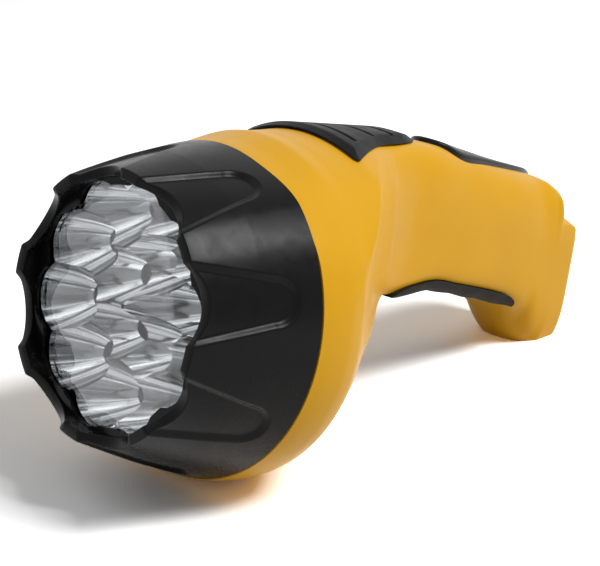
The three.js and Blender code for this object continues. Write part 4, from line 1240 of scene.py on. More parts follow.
@dataclass
class FingerStrip:
    """Rubber strip under the handle, with a wave for each finger."""

    form: BodyForm
    front: float = 65.6
    rear: float = 130.86
    depth: float = 3.3
    proud: float = 0.35
    waves: int = 4
    wave: float = 0.45
    back: float = 1.2
    back_lift: float = 2.0
    rows: int = 260
    columns: int = 60

    def side(self, margin: float, count: int) -> tuple[Points, Points, Points]:
        """Side outline: places, lower heights with their waves, and upper heights.

        The waves are a raised cosine. The upper edge drops to the lower at both ends along
        the root of one minus an eighth power.

        Args:
            margin: How far the outline is grown.
            count: Number of places.

        Returns:
            Places, lower and upper heights.
        """
        share = np.linspace(0, 1, count + 1)
        s = self.front - margin + share * (self.rear - self.front + 2 * margin)
        bottom = self.form.bottom_at(s)
        ends = np.sqrt(np.maximum(1 - (2 * share - 1) ** 8, 0))
        low = bottom - self.wave * (1 - np.cos(FULL_TURN * self.waves * share))
        return s, low, bottom + (self.depth + margin) * ends

    def loops(self, proud: float, lift: float) -> Points:
        """Section curves from the right upper edge under the handle to the left.

        Each is the lower superellipse of the handle, grown by a distance, started where it
        meets the strip's upper edge and held above its waved lower edge.

        Args:
            proud: Distance outside the handle's surface.
            lift: How much the lower edge is raised.

        Returns:
            (rows, columns, 3) array.
        """
        s, low, high = self.side(0.0, self.rows)
        s, low, high = s[:, None], low[:, None], high[:, None]
        centre, power = self.form.centre_at(s), self.form.lower_at(s)
        half = self.form.half_width_at(s) + proud
        height = centre - self.form.bottom_at(s) + proud
        first = np.arcsin(np.clip((centre - high) / height, 0, 1) ** (power / 2))
        turn = first + (math.pi - 2 * first) * np.linspace(0, 1, self.columns)[None, :]
        x = half * np.sign(np.cos(turn)) * np.abs(np.cos(turn)) ** (2 / power)
        u = centre - height * np.abs(np.sin(turn)) ** (2 / power)
        return np.stack([x, np.broadcast_to(s, x.shape), np.maximum(u, low + lift)], axis=-1)

    def build(self, wardrobe: Wardrobe) -> None:
        """Makes the strip and dresses it.

        Args:
            wardrobe: Where the finishes come from.
        """
        outer = self.loops(self.proud + 2 * self.wave, 0.0)
        inner = self.loops(-self.back, self.back_lift)[:, ::-1]
        mesh = Skin().closed(np.concatenate([outer, inner], axis=1)).mesh("strip")
        piece = Piece("grip_strip", "black_rubber", ("finger_strip",))
        piece.show(mesh, wardrobe.slot("black_rubber"))


@dataclass
class HandlePad:
    """Leaf-shaped pad let into the top of the handle."""

    form: BodyForm
    front: float = 84.0
    rear: float = 145.5
    half_width: float = 10.0
    proud: float = 1.6
    seat: float = 0.9
    edge: float = 1.1
    spine: Pair = (9.0, 14.0)
    rim_shares: tuple[float, ...] = (1, 0.985, 0.96, 0.93, 0.89, 0.84, 0.78)
    inner_share: float = 0.7
    inner_rings: int = 12
    outline_points: int = 121
    sides: Pairs = ((0.02, 0.3), (0.07, 0.66), (0.14, 0.87), (0.25, 0.89), (0.48, 0.68),
                    (0.7, 0.48), (0.88, 0.27))

    def outline(self, margin: float) -> Points:
        """Outline seen from above, grown by a margin, as (n, 2) points of x and s.

        Args:
            margin: How far it is grown.

        Returns:
            (n, 2) array.
        """
        length = self.rear - self.front
        middle = (self.rear + self.front) / 2
        grow = (length / 2 + margin) / (length / 2)
        knots = [(0.0, self.front - margin)]
        knots += [(w * self.half_width + margin,
                   middle + (self.front + t * length - middle) * grow) for t, w in self.sides]
        knots.append((0.0, self.rear + margin))
        right = spline(knots, self.outline_points)
        return np.concatenate([right, right[1:-1][::-1] * (-1, 1)])

    def build(self, wardrobe: Wardrobe) -> None:
        """Makes the pad: rings drawn in from its outline over the roof's surface.

        A ring keeps a share of the outline's size about the spine, the part of the middle line
        that ends short of the outline. Its height is the roof plus half of what stands proud,
        and the other half by a quarter circle of the distance in from the edge.

        Args:
            wardrobe: Where the finishes come from.
        """
        rim = self.outline(0.0)
        spine = np.clip(rim[:, 1], self.front + self.spine[0], self.rear - self.spine[1])
        middle = np.stack([np.zeros(len(rim)), spine], axis=-1)
        shares = np.concatenate([self.rim_shares,
                                 np.linspace(self.inner_share, 0.0, self.inner_rings)])
        flat = middle[None] + (rim - middle)[None] * shares[:, None, None]
        gap = distance_to_outline(flat.reshape(-1, 2), rim).reshape(flat.shape[:2])
        x, s = flat[..., 0], flat[..., 1]
        t = np.clip(gap / self.edge, 0, 1)
        rise = 0.5 * self.proud + 0.5 * self.proud * np.sqrt(1 - (1 - t) ** 2)
        top = np.stack([x, s, self.form.roof(x, s) + rise], axis=-1)
        under = np.stack([x, s, self.form.roof(x, s) - self.seat], axis=-1)
        rows = np.concatenate([under[::-1], top])
        piece = Piece("handle_pad", "black_gloss", ("top_pad",))
        piece.show(Skin().grid(rows).mesh("pad"), wardrobe.get(GLOSS_ABS))


# ---------------------------------------------------------------- head


@dataclass
class CupLayout:
    """Where the fifteen cups stand, and the bowl that they share."""

    rings: tuple[Triple, ...] = ((5, 10.8, 8.0), (10, 23.9, 8.0))
    focus: float = 1.62
    depth: float = 16.0
    plate_front: float = -24.3
    hole: float = 3.2

    def centres(self) -> Points:
        """Centres as (n, 2) points of x and u.

        Returns:
            (n, 2) array, the inner ring first.
        """
        rows = []
        for count, radius, turn in self.rings:
            a = math.radians(turn) + FULL_TURN * np.arange(count) / count
            rows.append(np.stack([radius * np.cos(a), radius * np.sin(a)], axis=-1))
        return np.concatenate(rows)

    @property
    def mouth(self) -> float:
        """Radius of a bowl at the plate: the root of four focal lengths times the depth."""
        return math.sqrt(4 * self.focus * self.depth)

    @property
    def vertex(self) -> float:
        """Place of the bowls' lowest point."""
        return self.plate_front + self.depth

    def outside(self, angle: Points, radius: float) -> Points:
        """Distance from the axis to the far side of circles round the cups.

        Args:
            angle: Directions about the beam axis.
            radius: Radius of the circle round each cup's centre.

        Returns:
            The largest distance over the cups, zero where no circle is met.
        """
        c = self.centres()
        along = c[:, :1] * np.cos(angle)[None] + c[:, 1:] * np.sin(angle)[None]
        aside = radius**2 - ((c**2).sum(1)[:, None] - along**2)
        return np.where(aside > 0, along + np.sqrt(np.maximum(aside, 0)), 0).max(0)


@dataclass
class Bezel:
    """Black ring in front of the housing, with flutes, a notched rim and a scalloped ledge.

    The top is drawn down by flat at the rear, and by that over the divisor in the relief.
    """

    cups: CupLayout
    rim: float = -33.0
    rim_radius: float = 36.13
    middle: float = -16.0
    middle_radius: float = 42.13
    rear: float = -0.3
    rear_radius: float = 47.03
    opening: float = 33.3
    ledge: float = -27.2
    ledge_front: float = -28.2
    ledge_radius: float = 29.6
    scallop: float = 9.28
    ease: float = 1.7
    seat_radius: float = 35.8
    spigot_radius: float = 40.7
    flutes: int = 8
    flute_turn: float = math.radians(14.5)
    flute_rim: float = 9.6
    flute_rear: float = 5.8
    flute_end: float = -6.6
    flute_depth: float = 1.2
    flute_edge: float = 1.9
    flute_sides: Pair = (math.radians(5.6), math.radians(17.6))
    notch_radius: float = 13.8
    notch_depth: float = 4.2
    edge: float = 0.6
    inner_edge: float = 0.4
    flat: float = 2.9
    flat_span: Pair = (0.7, 0.985)
    relief: Triple = (42.0, 43.4, 43.7)
    relief_floor: float = -4.5
    relief_divisor: float = 2.4
    rear_edge: Pair = (46.7, 46.9)
    rear_ease: float = 0.1
    columns: tuple[int, ...] = (8, 26, 6)
    row_stops: tuple[float, ...] = (0, 0.19, 0.37, 1)
    row_counts: tuple[int, ...] = (6, 30, 59)

    def cone(self, s: Points) -> Points:
        """Radius of the outside before the flutes: straight between three sizes."""
        return np.interp(s, [self.rim, self.middle, self.rear],
                         [self.rim_radius, self.middle_radius, self.rear_radius])

    def flute_gap(self, x: Points, s: Points) -> Points:
        """Distance to a flute's outline, negative inside.

        In front of its round end the outline is a straight side that narrows to the rear;
        behind that it is a half circle.

        Args:
            x: Distances aside of the flute's middle.
            s: Places along the beam axis.

        Returns:
            Distances, in the arrays' shape.
        """
        start = self.flute_end - self.flute_rear
        slope = (self.flute_rim - self.flute_rear) / (start - self.rim)
        side = self.flute_rear + (start - s) * slope
        straight = (np.abs(x) - side) / math.hypot(1, slope)
        end = np.hypot(x, s - start) - self.flute_rear
        return np.where(s > start, end, straight)

    def notch(self, x: Points) -> Points:
        """How far the rim is drawn back at a distance aside of a flute's middle."""
        inside = np.maximum(self.notch_radius**2 - x**2, 0)
        return np.maximum(self.notch_depth - self.notch_radius + np.sqrt(inside), 0)

    def angles(self) -> tuple[Points, Points]:
        """Directions of the columns, and each one's turn from its flute's middle.

        Columns are close together along the flute's sides and wider apart elsewhere.

        Returns:
            Two arrays with a value for each column.
        """
        half = math.pi / self.flutes
        turn = runs((0, *self.flute_sides, half), self.columns)
        sector = np.concatenate([-turn[:0:-1], turn[:-1]])
        k = np.arange(self.flutes)[:, None] * 2 * half
        return (k + sector[None] + self.flute_turn).ravel(), np.tile(sector, self.flutes)

    def build(self, wardrobe: Wardrobe) -> None:
        """Makes the ring as one closed grid of rows round a profile.

        Outer rows run from the rear to the rim. Each point's radius is the cone's, less the
        flute's depth by a soft step of its distance to the flute's outline. The rim's rows
        follow the notches, and the ledge's inner edge follows the cups.

        Args:
            wardrobe: Where the finishes come from.
        """
        heading, turn = self.angles()
        up = np.cos(heading)
        angle = heading + math.pi / 2
        drop = self.flat * soft_step(up, *self.flat_span)
        rim_at = self.rim + self.notch(self.rim_radius * np.sin(turn))
        rows: list[tuple[Points, Points]] = []
        for share in runs(self.row_stops, self.row_counts):
            s = self.rear + (rim_at + self.edge - self.rear) * share
            cone = self.cone(s)
            gap = self.flute_gap(cone * np.sin(turn), s)
            cut = 1 - soft_step(gap, -self.flute_edge / 2, self.flute_edge / 2)
            last = cone - self.flute_depth * cut - drop * (s - self.rim) / (self.rear - self.rim)
            rows.append((last, s))
        rows += [(last - self.edge * (1 - math.cos(a)), rim_at + self.edge * (1 - math.sin(a)))
                 for a in np.linspace(0, math.pi / 2, 5)[1:]]
        inner = self.rim + self.notch(self.opening * np.sin(turn))
        rows += [(self.opening + self.inner_edge * (1 - math.cos(a)),
                  inner + self.inner_edge * (1 - math.sin(a)))
                 for a in np.linspace(math.pi / 2, 0, 4)]
        rows += [(self.opening, inner + (self.ledge_front - inner) * share)
                 for share in (0.3, 0.6, 0.93, 1.0)]
        lip = np.maximum(self.cups.outside(angle, self.scallop),
                         self.ledge_radius + self.ease * up**2)
        rows += [(self.opening + (lip - self.opening) * share, self.ledge_front)
                 for share in (0.1, 0.5, 0.9, 1.0)]
        plate, relief = self.cups.plate_front, drop / self.relief_divisor
        rows += [(lip, (self.ledge_front + self.ledge) / 2), (lip, self.ledge),
                 (self.seat_radius, self.ledge), (self.seat_radius, plate),
                 (self.spigot_radius, SPIGOT_FRONT), (self.spigot_radius, self.rear),
                 (self.relief[0], self.rear), (self.relief[0], self.relief_floor),
                 (self.relief[1] - relief, self.relief_floor),
                 (self.relief[2] - relief, self.rear), (self.rear_edge[0] - drop, self.rear),
                 (self.rear_edge[1] - drop, self.rear - self.rear_ease)]
        grid = np.stack([ring(angle, radius, s) for radius, s in [*rows, rows[0]]])
        piece = Piece("bezel_ring", "black_gloss", ("head_bezel",), crease=math.radians(40))
        piece.show(Skin().grid(grid).mesh("bezel"), wardrobe.slot("black_gloss"))


@dataclass
class Lens:
    """Clear disc held between the bezel's ledge and the reflector."""

    radius: float = 35.5
    front: float = -26.0
    thickness: float = 1.4
    edge: float = 0.25
    sides: int = 128

    def build(self, wardrobe: Wardrobe) -> None:
        """Turns the disc, with rounded edges, and dresses it.

        Args:
            wardrobe: Where the finishes come from.
        """
        rear = self.front + self.thickness
        profile = rounded([(0.0, self.front), (self.radius, self.front), (self.radius, rear),
                           (0.0, rear)], self.edge, 3)
        mesh = Skin().grid(turned(profile, self.sides)).mesh("lens")
        Piece("lens_disc", "clear_lens", ("front_lens",)).show(mesh, wardrobe.slot("clear_lens"))


@dataclass
class Reflector:
    """Metallised cups that run into each other, and the plate that carries them."""

    cups: CupLayout
    plate_radius: float = 34.6
    skirt_radius: float = 39.6
    skirt_rear: float = -9.9
    skirt_wall: float = 1.5
    plate: float = 1.4
    thickness: float = 1.2
    neck: float = 3.4
    neck_wall: float = 1.2
    mouth_land: float = 0.05
    columns: int = 168
    rows: int = 18
    plate_sides: int = 720

    def cell(self, index: int) -> tuple[Points, Points]:
        """Directions about a cup's centre and how far its own bowl reaches in each.

        Two equal bowls meet over the line midway between their centres, so the reach is the
        least of the mouth's radius and the distances to those lines. Directions of the
        corners are added to the even ones, so that neighbours share their corners.

        Args:
            index: Which cup.

        Returns:
            Directions and reaches.
        """
        centres = self.cups.centres()
        offset = np.delete(centres - centres[index], index, axis=0)
        span = np.hypot(offset[:, 0], offset[:, 1])
        heading = np.arctan2(offset[:, 1], offset[:, 0])
        mouth = self.cups.mouth
        near = span < 2 * mouth
        span, heading = span[near], heading[near]
        half = np.arccos(np.clip(span / 2 / mouth, -1, 1))
        corners = [heading - half, heading + half]
        for i in range(len(span)):
            normal = np.stack([np.cos(heading), np.sin(heading)], axis=-1)
            det = normal[i, 0] * normal[:, 1] - normal[i, 1] * normal[:, 0]
            safe = np.where(np.abs(det) > 1e-6, det, 1.0)
            x = (span[i] / 2 * normal[:, 1] - span / 2 * normal[i, 1]) / safe
            y = (normal[i, 0] * span / 2 - normal[:, 0] * span[i] / 2) / safe
            corners.append(np.arctan2(y, x)[np.abs(det) > 1e-6])
        even = np.linspace(0, FULL_TURN, self.columns, endpoint=False)
        angle = np.unique(np.round(np.concatenate([even, *corners]) % FULL_TURN, 6))
        facing = np.cos(angle[:, None] - heading[None])
        lines = np.where(facing > 1e-3, span[None] / 2 / np.maximum(facing, 1e-3), 1e3)
        return angle, np.minimum(lines.min(1), mouth)

    def cup_rows(self, index: int) -> Points:
        """Rows of one cup: the bowl inward from its border, its neck, and its back.

        The bowl's place is its vertex less the radius squared over four focal lengths. The
        back is the bowl moved back by the thickness.

        Args:
            index: Which cup.

        Returns:
            (rows, columns, 3) array.
        """
        angle, reach = self.cell(index)
        x0, u0 = self.cups.centres()[index]
        hole = self.cups.hole
        shares = np.linspace(1, 0, self.rows)[:, None]
        radius = hole + (reach[None] - hole) * shares
        bowl = self.cups.vertex - radius**2 / (4 * self.cups.focus)
        neck = np.broadcast_to(self.cups.vertex + self.neck, (2, len(angle)))
        places = np.concatenate([bowl, neck, bowl[::-3] + self.thickness])
        radii = np.concatenate([radius, np.full((1, len(angle)), hole),
                                np.full((2, len(angle)), hole + self.neck_wall), radius[-4::-3]])
        return np.stack([x0 + radii * np.cos(angle), places, u0 + radii * np.sin(angle)], axis=-1)

    def map_cups(self, mesh: bpy.types.Mesh) -> None:
        """Gives the mesh a map of each corner's offset from its own cup's axis.

        A face belongs to the cup whose axis is nearest to its middle. The offset is in
        centimetres, which the lines of the mirror film are sized for.

        Args:
            mesh: The mesh, already in place.
        """
        points = np.empty(len(mesh.vertices) * 3)
        mesh.vertices.foreach_get("co", points)
        flat = TORCH.from_world(points.reshape(-1, 3))[:, [0, 2]]
        corners = np.empty(len(mesh.loops), int)
        mesh.loops.foreach_get("vertex_index", corners)
        counts = np.empty(len(mesh.polygons), int)
        mesh.polygons.foreach_get("loop_total", counts)
        face = np.repeat(np.arange(len(counts)), counts)
        middle = np.stack([np.bincount(face, flat[corners, i]) / counts for i in (0, 1)], axis=-1)
        centres = self.cups.centres()
        nearest = ((middle[:, None] - centres[None]) ** 2).sum(2).argmin(1)
        offset = (flat[corners] - centres[nearest[face]]) / 10
        mesh.uv_layers.new(name="cup").data.foreach_set("uv", offset.ravel())

    def build(self, wardrobe: Wardrobe) -> None:
        """Makes the cups as one piece and the plate and skirt as another.

        Args:
            wardrobe: Where the finishes come from.
        """
        skin = Skin()
        for index in range(len(self.cups.centres())):
            skin.grid(self.cup_rows(index))
        mesh = skin.mesh("cups")
        self.map_cups(mesh)
        piece = Piece("reflector_cups", "mirror_coat", ("reflector",), crease=math.radians(28))
        piece.show(mesh, wardrobe.slot("mirror_coat"))

        angle = np.linspace(0, FULL_TURN, self.plate_sides, endpoint=False)
        inner = self.cups.outside(angle, self.cups.mouth)
        front, rear = self.cups.plate_front, self.cups.plate_front + self.plate
        profile = [(inner, front), (inner + self.mouth_land, front), (self.plate_radius, front),
                   (self.skirt_radius, self.skirt_rear),
                   (self.skirt_radius - self.skirt_wall, self.skirt_rear),
                   (self.plate_radius - self.skirt_wall, rear), (inner, rear), (inner, front)]
        plate = Skin().grid(np.stack([ring(angle, r, s) for r, s in profile])).mesh("plate")
        self.map_cups(plate)
        Piece("reflector_plate", "mirror_coat", ("reflector",)).show(
            plate, wardrobe.slot("mirror_coat"))


@dataclass
class Diodes:
    """Fifteen round diodes: clear domes with a phosphor spot inside."""

    cups: CupLayout
    base: float = -0.9
    radius: float = 2.5
    flange_radius: float = 2.9
    flange: float = 1.0
    length: float = 8.6
    sides: int = 24
    spot: Pairs = ((0.0, -4.2), (0.9, -4.3), (1.5, -5.0), (1.55, -5.1), (1.3, -5.15),
                   (0.0, -5.2))
    spot_sides: int = 16

    def build(self, wardrobe: Wardrobe) -> None:
        """Turns a dome and a spot about each cup's axis.

        A dome's profile is a flange, a straight side and a quarter circle.

        Args:
            wardrobe: Where the finishes come from.
        """
        shoulder = self.base - self.length + self.radius
        turn = np.linspace(0, math.pi / 2, 7)
        dome = [(self.radius * math.cos(a), shoulder - self.radius * math.sin(a)) for a in turn]
        body = [(0.0, self.base), (self.flange_radius, self.base),
                (self.flange_radius, self.base - self.flange),
                (self.radius, self.base - self.flange), *dome]
        domes, spots = Skin(), Skin()
        for x, u in self.cups.centres():
            domes.grid(turned(body, self.sides, (x, u)))
            spots.grid(turned(self.spot, self.spot_sides, (x, u)))
        nodes = tuple(f"led_{i + 1:02d}" for i in range(len(self.cups.centres())))
        Piece("diode_domes", "led_epoxy", nodes).show(domes.mesh("domes"),
                                                      wardrobe.slot("led_epoxy"))
        Piece("diode_phosphor", "led_epoxy", nodes).show(spots.mesh("spots"),
                                                         wardrobe.get(PHOSPHOR))


# ---------------------------------------------------------------- switch


@dataclass
class SwitchCover:
    """Sliding cover: a curved cap with a sloped skirt and three finger grooves."""

    inner: float = 49.904
    front: float = 29.18
    crown: float = 65.98
    rear: float = 76.98
    front_thickness: float = 1.4
    crown_thickness: float = 2.3
    rear_thickness: float = 0.9
    half_width: float = 22.6
    skirt: float = 2.5
    skirt_foot: float = 0.12
    skirt_ease: float = 0.5
    grooves: Triple = (37.0, 49.2, 60.2)
    groove_half: float = 0.9
    groove_fall: Pair = (0.35, 1.25)
    groove_depth: float = 0.8
    groove_reach: float = 0.74
    side: Pairs = ((0.5, 0.003), (0.9, 0.02), (0.985, 0.035), (1, 0.06), (0.915, 0.135),
                   (0.76, 0.27), (0.6, 0.435), (0.515, 0.58), (0.45, 0.72), (0.37, 0.85),
                   (0.25, 0.95), (0.12, 0.993))
    side_points: int = 400
    row_stops: tuple[float, ...] = (0, 0.1, 0.93, 1)
    row_counts: tuple[int, ...] = (40, 160, 29)
    columns: int = 91
    stem: tuple = (((-2.5, 53, 45.5), (2.5, 61, 50.1), 0.4),
                   ((-5.2, 51.5, 44.8), (5.2, 62.5, 46.5), 0.4),
                   ((-2.5, 53.8, 43.9), (2.5, 55.2, 45.1), 0.2),
                   ((-2.5, 58.8, 43.9), (2.5, 60.2, 45.1), 0.2))

    def outline(self) -> Points:
        """Right side of the outline, front to rear, as (n, 2) points of x and s.

        Returns:
            (n, 2) array.
        """
        length = self.rear - self.front
        knots = [(a * self.half_width, self.front + b * length) for a, b in self.side]
        curve = spline([*knots, (0.0, self.rear)], self.side_points)
        return np.concatenate([[(0.0, self.front)], curve])

    def thickness(self, s: Points) -> Points:
        """Height of the cap over its underside: straight between three sizes."""
        return np.interp(s, [self.front, self.crown, self.rear],
                         [self.front_thickness, self.crown_thickness, self.rear_thickness])

    def build(self, wardrobe: Wardrobe) -> None:
        """Makes the cap, its grooves and the stem under it.

        The grid runs across from side to side and back from front to rear. The top is a
        circle about the beam axis. Its height falls off over the skirt by the distance to the
        outline, and each groove is a rounded trough by the distance to its middle line.

        Args:
            wardrobe: Where the finishes come from.
        """
        right = self.outline()
        order = np.argsort(right[:, 1], kind="stable")
        share = runs(self.row_stops, self.row_counts)
        s = self.front + share * (self.rear - self.front)
        half = np.interp(s, right[order, 1], right[order, 0])
        across = np.sin(np.linspace(-math.pi / 2, math.pi / 2, self.columns))
        x = half[:, None] * across[None]
        place = np.broadcast_to(s[:, None], x.shape)
        whole = np.concatenate([right, right[::-1] * (-1, 1)])
        flat = np.stack([x, place], axis=-1).reshape(-1, 2)
        gap = distance_to_outline(flat, whole[::4]).reshape(x.shape)
        foot, slope = self.skirt_foot, 1 - self.skirt_foot
        rise = foot + slope * np.clip(gap / self.skirt, 0, 1)
        fade = soft_step(gap, self.skirt - self.skirt_ease, self.skirt + self.skirt_ease) * foot
        height = self.thickness(place) * np.minimum(rise, slope + fade)
        start, end = (self.groove_half * share for share in self.groove_fall)
        for middle in self.grooves:
            reach = np.interp(middle, right[order, 1], right[order, 0]) * self.groove_reach
            beside = np.hypot(np.maximum(np.abs(x) - reach, 0), place - middle)
            height -= self.groove_depth * (1 - soft_step(beside, start, end))
        outer = self.inner + height
        top = np.stack([x, place, np.sqrt(outer**2 - x**2)], axis=-1)
        under = np.stack([x, place, np.sqrt(self.inner**2 - x**2)], axis=-1)
        cap = Skin().closed(np.concatenate([top, under[:, ::-1]], axis=1))
        Piece("switch_cap", "black_gloss", ("switch_button",), Rider.SLIDER,
              math.radians(38)).show(cap.mesh("cover"), wardrobe.get(SATIN_ABS))
        stem = Skin()
        for low, high, edge in self.stem:
            stem.closed(block_rows(low, high, edge))
        Piece("switch_stem", "black_gloss", ("switch_button",), Rider.SLIDER).show(
            stem.mesh("stem"), wardrobe.get(SATIN_ABS))


# ---------------------------------------------------------------- tail and fasteners


@dataclass
class Tail:
    """Charging inlet with its recess, and the small indicator above it."""

    sink: float = 0.4
    half_width: float = 9.2
    half_height: float = 4.8
    corner: float = 0.8
    front: float = 147.0
    lead_in: float = 0.3
    recess: Pair = (7.4, 3.2)
    recess_depth: float = 7.0
    collar: float = 1.2
    collar_corner: float = 1.0
    collar_rear: float = 2.6
    collar_length: float = 2.0
    lip: float = 0.4
    lip_middle: float = 0.12
    corner_steps: int = 8
    pin_gap: float = 4.3
    pin_radius: float = 1.15
    pin_front: float = 150.0
    pin_rear: float = 155.5
    pin_edge: float = 0.5
    pin_sides: int = 24
    lamp: Pairs = ((0.0, 6), (1.5, 6), (1.5, 3.2), (2.0, 3.2), (2.0, 2.2), (1.5, 2.2),
                   (1.5, 0.7), (1.3, 0.35), (0.8, 0.1), (0.0, 0.0))
    lamp_sides: int = 32

    def outer(self, inset: float) -> Points:
        """Outside outline of the inlet, drawn in by an inset."""
        return rounded_rectangle(self.half_width - inset, self.half_height - inset, self.corner,
                                 self.corner_steps)

    def inner(self, inset: float) -> Points:
        """Outline of the recess, drawn in by an inset: all but round at its ends."""
        width, height = self.recess[0] - inset, self.recess[1] - inset
        return rounded_rectangle(width, height, height - 0.01, self.corner_steps)

    def inlet(self) -> Skin:
        """The inlet as one closed bar whose rows turn in to form the recess.

        Each row is the outside outline, the collar's or the recess's at its place along the
        beam axis. The lip between outside and recess is rounded.

        Returns:
            The closed skin.
        """
        rear = BODY_LENGTH - self.sink
        wall = BODY_LENGTH - self.collar_rear
        step, bottom = wall - self.collar_length, rear - self.recess_depth
        wide = rounded_rectangle(self.half_width + self.collar, self.half_height + self.collar,
                                 self.collar_corner, self.corner_steps)
        lip = ((self.lip, rear), (self.lip_middle, rear - self.lip_middle), (0, rear - self.lip))
        rows = [(self.outer(self.lead_in), self.front), (self.outer(0), self.front + self.lead_in),
                (self.outer(0), step), (wide, step), (wide, wall), (self.outer(0), wall),
                *((self.outer(inset), place) for inset, place in lip[::-1]),
                *((self.inner(-inset), place) for inset, place in lip),
                (self.inner(0), bottom + self.lip), (self.inner(self.lip), bottom)]
        outlines, places = zip(*rows)
        return Skin().closed(bar_rows(outlines, places, (0.0, INLET_HEIGHT)))

    def build(self, wardrobe: Wardrobe) -> None:
        """Makes the inlet, its two pins and the indicator.

        Args:
            wardrobe: Where the finishes come from.
        """
        Piece("inlet_socket", "black_gloss", ("charging_inlet",)).show(
            self.inlet().mesh("inlet"), wardrobe.get(SATIN_ABS))
        pin = rounded([(0.0, self.pin_front), (self.pin_radius, self.pin_front),
                       (self.pin_radius, self.pin_rear), (0.0, self.pin_rear)], self.pin_edge)
        pins = Skin()
        for x in (-self.pin_gap, self.pin_gap):
            pins.grid(turned(pin, self.pin_sides, (x, INLET_HEIGHT)))
        Piece("inlet_pins", "steel", ("charging_pin_left", "charging_pin_right")).show(
            pins.mesh("pins"), wardrobe.slot("steel"))
        rear = BODY_LENGTH - self.sink
        lamp = [(radius, rear - depth) for radius, depth in self.lamp]
        dome = Skin().grid(turned(lamp, self.lamp_sides, (0.0, INDICATOR_HEIGHT)))
        Piece("indicator_dome", "red_component", ("charge_indicator",)).show(
            dome.mesh("indicator"), wardrobe.slot("red_component"))


@dataclass
class Screws:
    """Pan-head screws with a cross recess, in pockets on the left side."""

    seat: float = 6.3
    head: float = 2.0
    head_fall: float = 0.09
    head_radius: float = 2.7
    head_rings: Triple = (2.2, 2.5, 2.65)
    cross_depth: float = 0.9
    cross_arm: Pair = (0.25, 0.5)
    cross_end: Pair = (1.3, 1.8)
    cross_rings: int = 13
    shank: float = 1.2
    tip: float = 8.0
    tip_length: float = 1.0
    tip_radius: float = 0.3
    sides: int = 48

    def build(self, wardrobe: Wardrobe) -> None:
        """Makes each head as rings on a dome, sunk where a cross is near its middle.

        The dome falls off by a share of the radius squared. The cross sinks by a soft step of
        the distance to the nearer arm and of the distance to the arms' ends.

        Args:
            wardrobe: Where the finishes come from.
        """
        skin = Skin()
        rim = circle(1.0, self.sides)
        radius = np.concatenate([np.linspace(0, self.cross_end[1], self.cross_rings),
                                 self.head_rings, [self.head_radius]])[:, None]
        y, z = radius * rim[:, 0], radius * rim[:, 1]
        arm = np.minimum(np.abs(y), np.abs(z))
        cross = (1 - soft_step(arm, *self.cross_arm)) * (1 - soft_step(radius, *self.cross_end))
        out = self.head - self.head_fall * radius**2 - self.cross_depth * cross
        shank = [rim * r for r in (self.head_radius, self.shank, self.shank, self.tip_radius)]
        depths = [-self.seat, -self.seat, self.tip - self.tip_length, self.tip]
        for s, u in SCREW_PLACES:
            top = np.stack([-self.seat - out, s + y, u + z], axis=-1)
            skin.grid(np.concatenate([top, bar_rows(shank, depths, (s, u), "x")]), cap_last=True)
        nodes = tuple(f"housing_screw_{i + 1}" for i in range(len(SCREW_PLACES)))
        Piece("shell_screws", "steel", nodes).show(skin.mesh("screws"), wardrobe.slot("steel"))


# ---------------------------------------------------------------- studio


@dataclass(frozen=True)
class Lamp:
    """Square soft lamp that faces the torch, in metres and watts."""

    name: str
    place: Triple
    size: float
    power: float
    target: Triple = (0.0, 0.0, 0.05)

    def hang(self) -> None:
        """Hangs the lamp at its place, turned to its target."""
        data = bpy.data.lights.new(self.name, "AREA")
        data.shape, data.size, data.energy = "SQUARE", self.size, self.power
        lamp = bpy.data.objects.new(self.name, data)
        lamp.location = self.place
        aim = Vector(self.target) - Vector(self.place)
        lamp.rotation_mode = "QUATERNION"
        lamp.rotation_quaternion = aim.to_track_quat("-Z", "Y")
        bpy.context.scene.collection.objects.link(lamp)


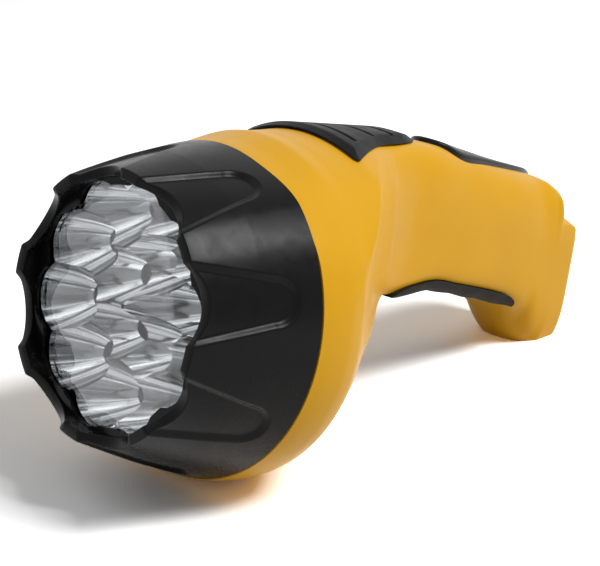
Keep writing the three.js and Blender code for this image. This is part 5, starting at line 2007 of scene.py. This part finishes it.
@dataclass
class Studio:
    """Pale floor, soft lamps and the camera at the photograph's angle.

    The camera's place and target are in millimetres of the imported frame. The floor reads
    brighter than white to the camera, so that its far corners don't turn grey.
    """

    camera_place: Triple = (286.097, -309.371, 189.733)
    camera_target: Triple = (2.3, -20.994, 45.92)
    camera_up: Triple = (-0.22383604, 0.24955943, 0.94213455)
    lens: float = 89.8
    sensor: float = 36.0
    clip: Pair = (0.01, 50.0)
    floor_size: float = 6.0
    floor_shown: float = 2.2
    fibre_scale: float = 300.0
    dim: float = 0.15
    lamps: tuple[Lamp, ...] = (Lamp("top_lamp", (1.1, 0.45, 1.5), 0.6, 23.5),
                               Lamp("front_lamp", (-0.5, -0.9, 1.9), 1.4, 3.6))

    def place_camera(self) -> None:
        """Puts the camera at its place, looking at its target."""
        data = bpy.data.cameras.new("camera")
        data.lens, data.sensor_width = self.lens, self.sensor
        data.clip_start, data.clip_end = self.clip
        camera = bpy.data.objects.new("camera", data)
        place, target = Vector(self.camera_place) * MM, Vector(self.camera_target) * MM
        back = (place - target).normalized()
        right = Vector(self.camera_up).cross(back).normalized()
        up = back.cross(right)
        camera.matrix_world = Matrix.Translation(place) @ Matrix(
            (right, up, back)).transposed().to_4x4()
        bpy.context.scene.collection.objects.link(camera)
        bpy.context.scene.camera = camera

    def lay_floor(self) -> None:
        """Lays the floor: matt white that takes the shadow and reads white to the camera."""
        corners = np.array([[-1, -1, 0], [1, -1, 0], [-1, 1, 0], [1, 1, 0]], float)
        rows = (corners * self.floor_size / 2).reshape(2, 2, 3)
        mesh = Skin().grid(rows, wrap=False).mesh("floor", placed=False)
        floor = bpy.data.objects.new("floor", mesh)
        bpy.context.scene.collection.objects.link(floor)
        recipe = Recipe(bpy.data.materials.new("matt_white_paper"))
        fibres = recipe.noise(recipe.place(), self.fibre_scale, detail=2.0)
        choice = recipe.two_faced(
            "BsdfDiffuse", {"Color": recipe.mix(fibres, "#d6d6d8", "#d2d2d4")},
            {"Color": (self.floor_shown, self.floor_shown, self.floor_shown, 1.0)})
        mesh.materials.append(recipe.close(choice))

    def fill_world(self) -> None:
        """Lights the world evenly, and shows it white to the eye and to gloss."""
        world = bpy.data.worlds.new("studio")
        recipe = Recipe(world)
        white = (1.0, 1.0, 1.0, 1.0)
        mix = recipe.two_faced("Background", {"Color": white, "Strength": self.dim},
                               {"Color": white, "Strength": 1.0})
        recipe.add("OutputWorld", {"Surface": mix.outputs[0]})
        bpy.context.scene.world = world

    def build(self) -> None:
        """Sets the whole studio."""
        self.place_camera()
        self.lay_floor()
        self.fill_world()
        for lamp in self.lamps:
            lamp.hang()
        bpy.context.scene.view_settings.view_transform = "Standard"


def main() -> None:
    """Builds the studio and every sub-assembly in order."""
    logging.basicConfig(level=logging.INFO, format="%(name)s: %(message)s")
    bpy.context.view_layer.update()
    Studio().build()
    wardrobe = Wardrobe()
    slots = {row["node"]: row["material_slot"] for row in frame["record"]["subparts"]}
    wardrobe.dress_nodes(frame["nodes"], slots)
    form = BodyForm()
    strip, pad, cups = FingerStrip(form), HandlePad(form), CupLayout()
    Housing(form).build(wardrobe, strip, pad)
    strip.build(wardrobe)
    pad.build(wardrobe)
    Bezel(cups).build(wardrobe)
    Lens().build(wardrobe)
    Reflector(cups).build(wardrobe)
    Diodes(cups).build(wardrobe)
    SwitchCover().build(wardrobe)
    Tail().build(wardrobe)
    Screws().build(wardrobe)


if __name__ == "__main__":
    main()
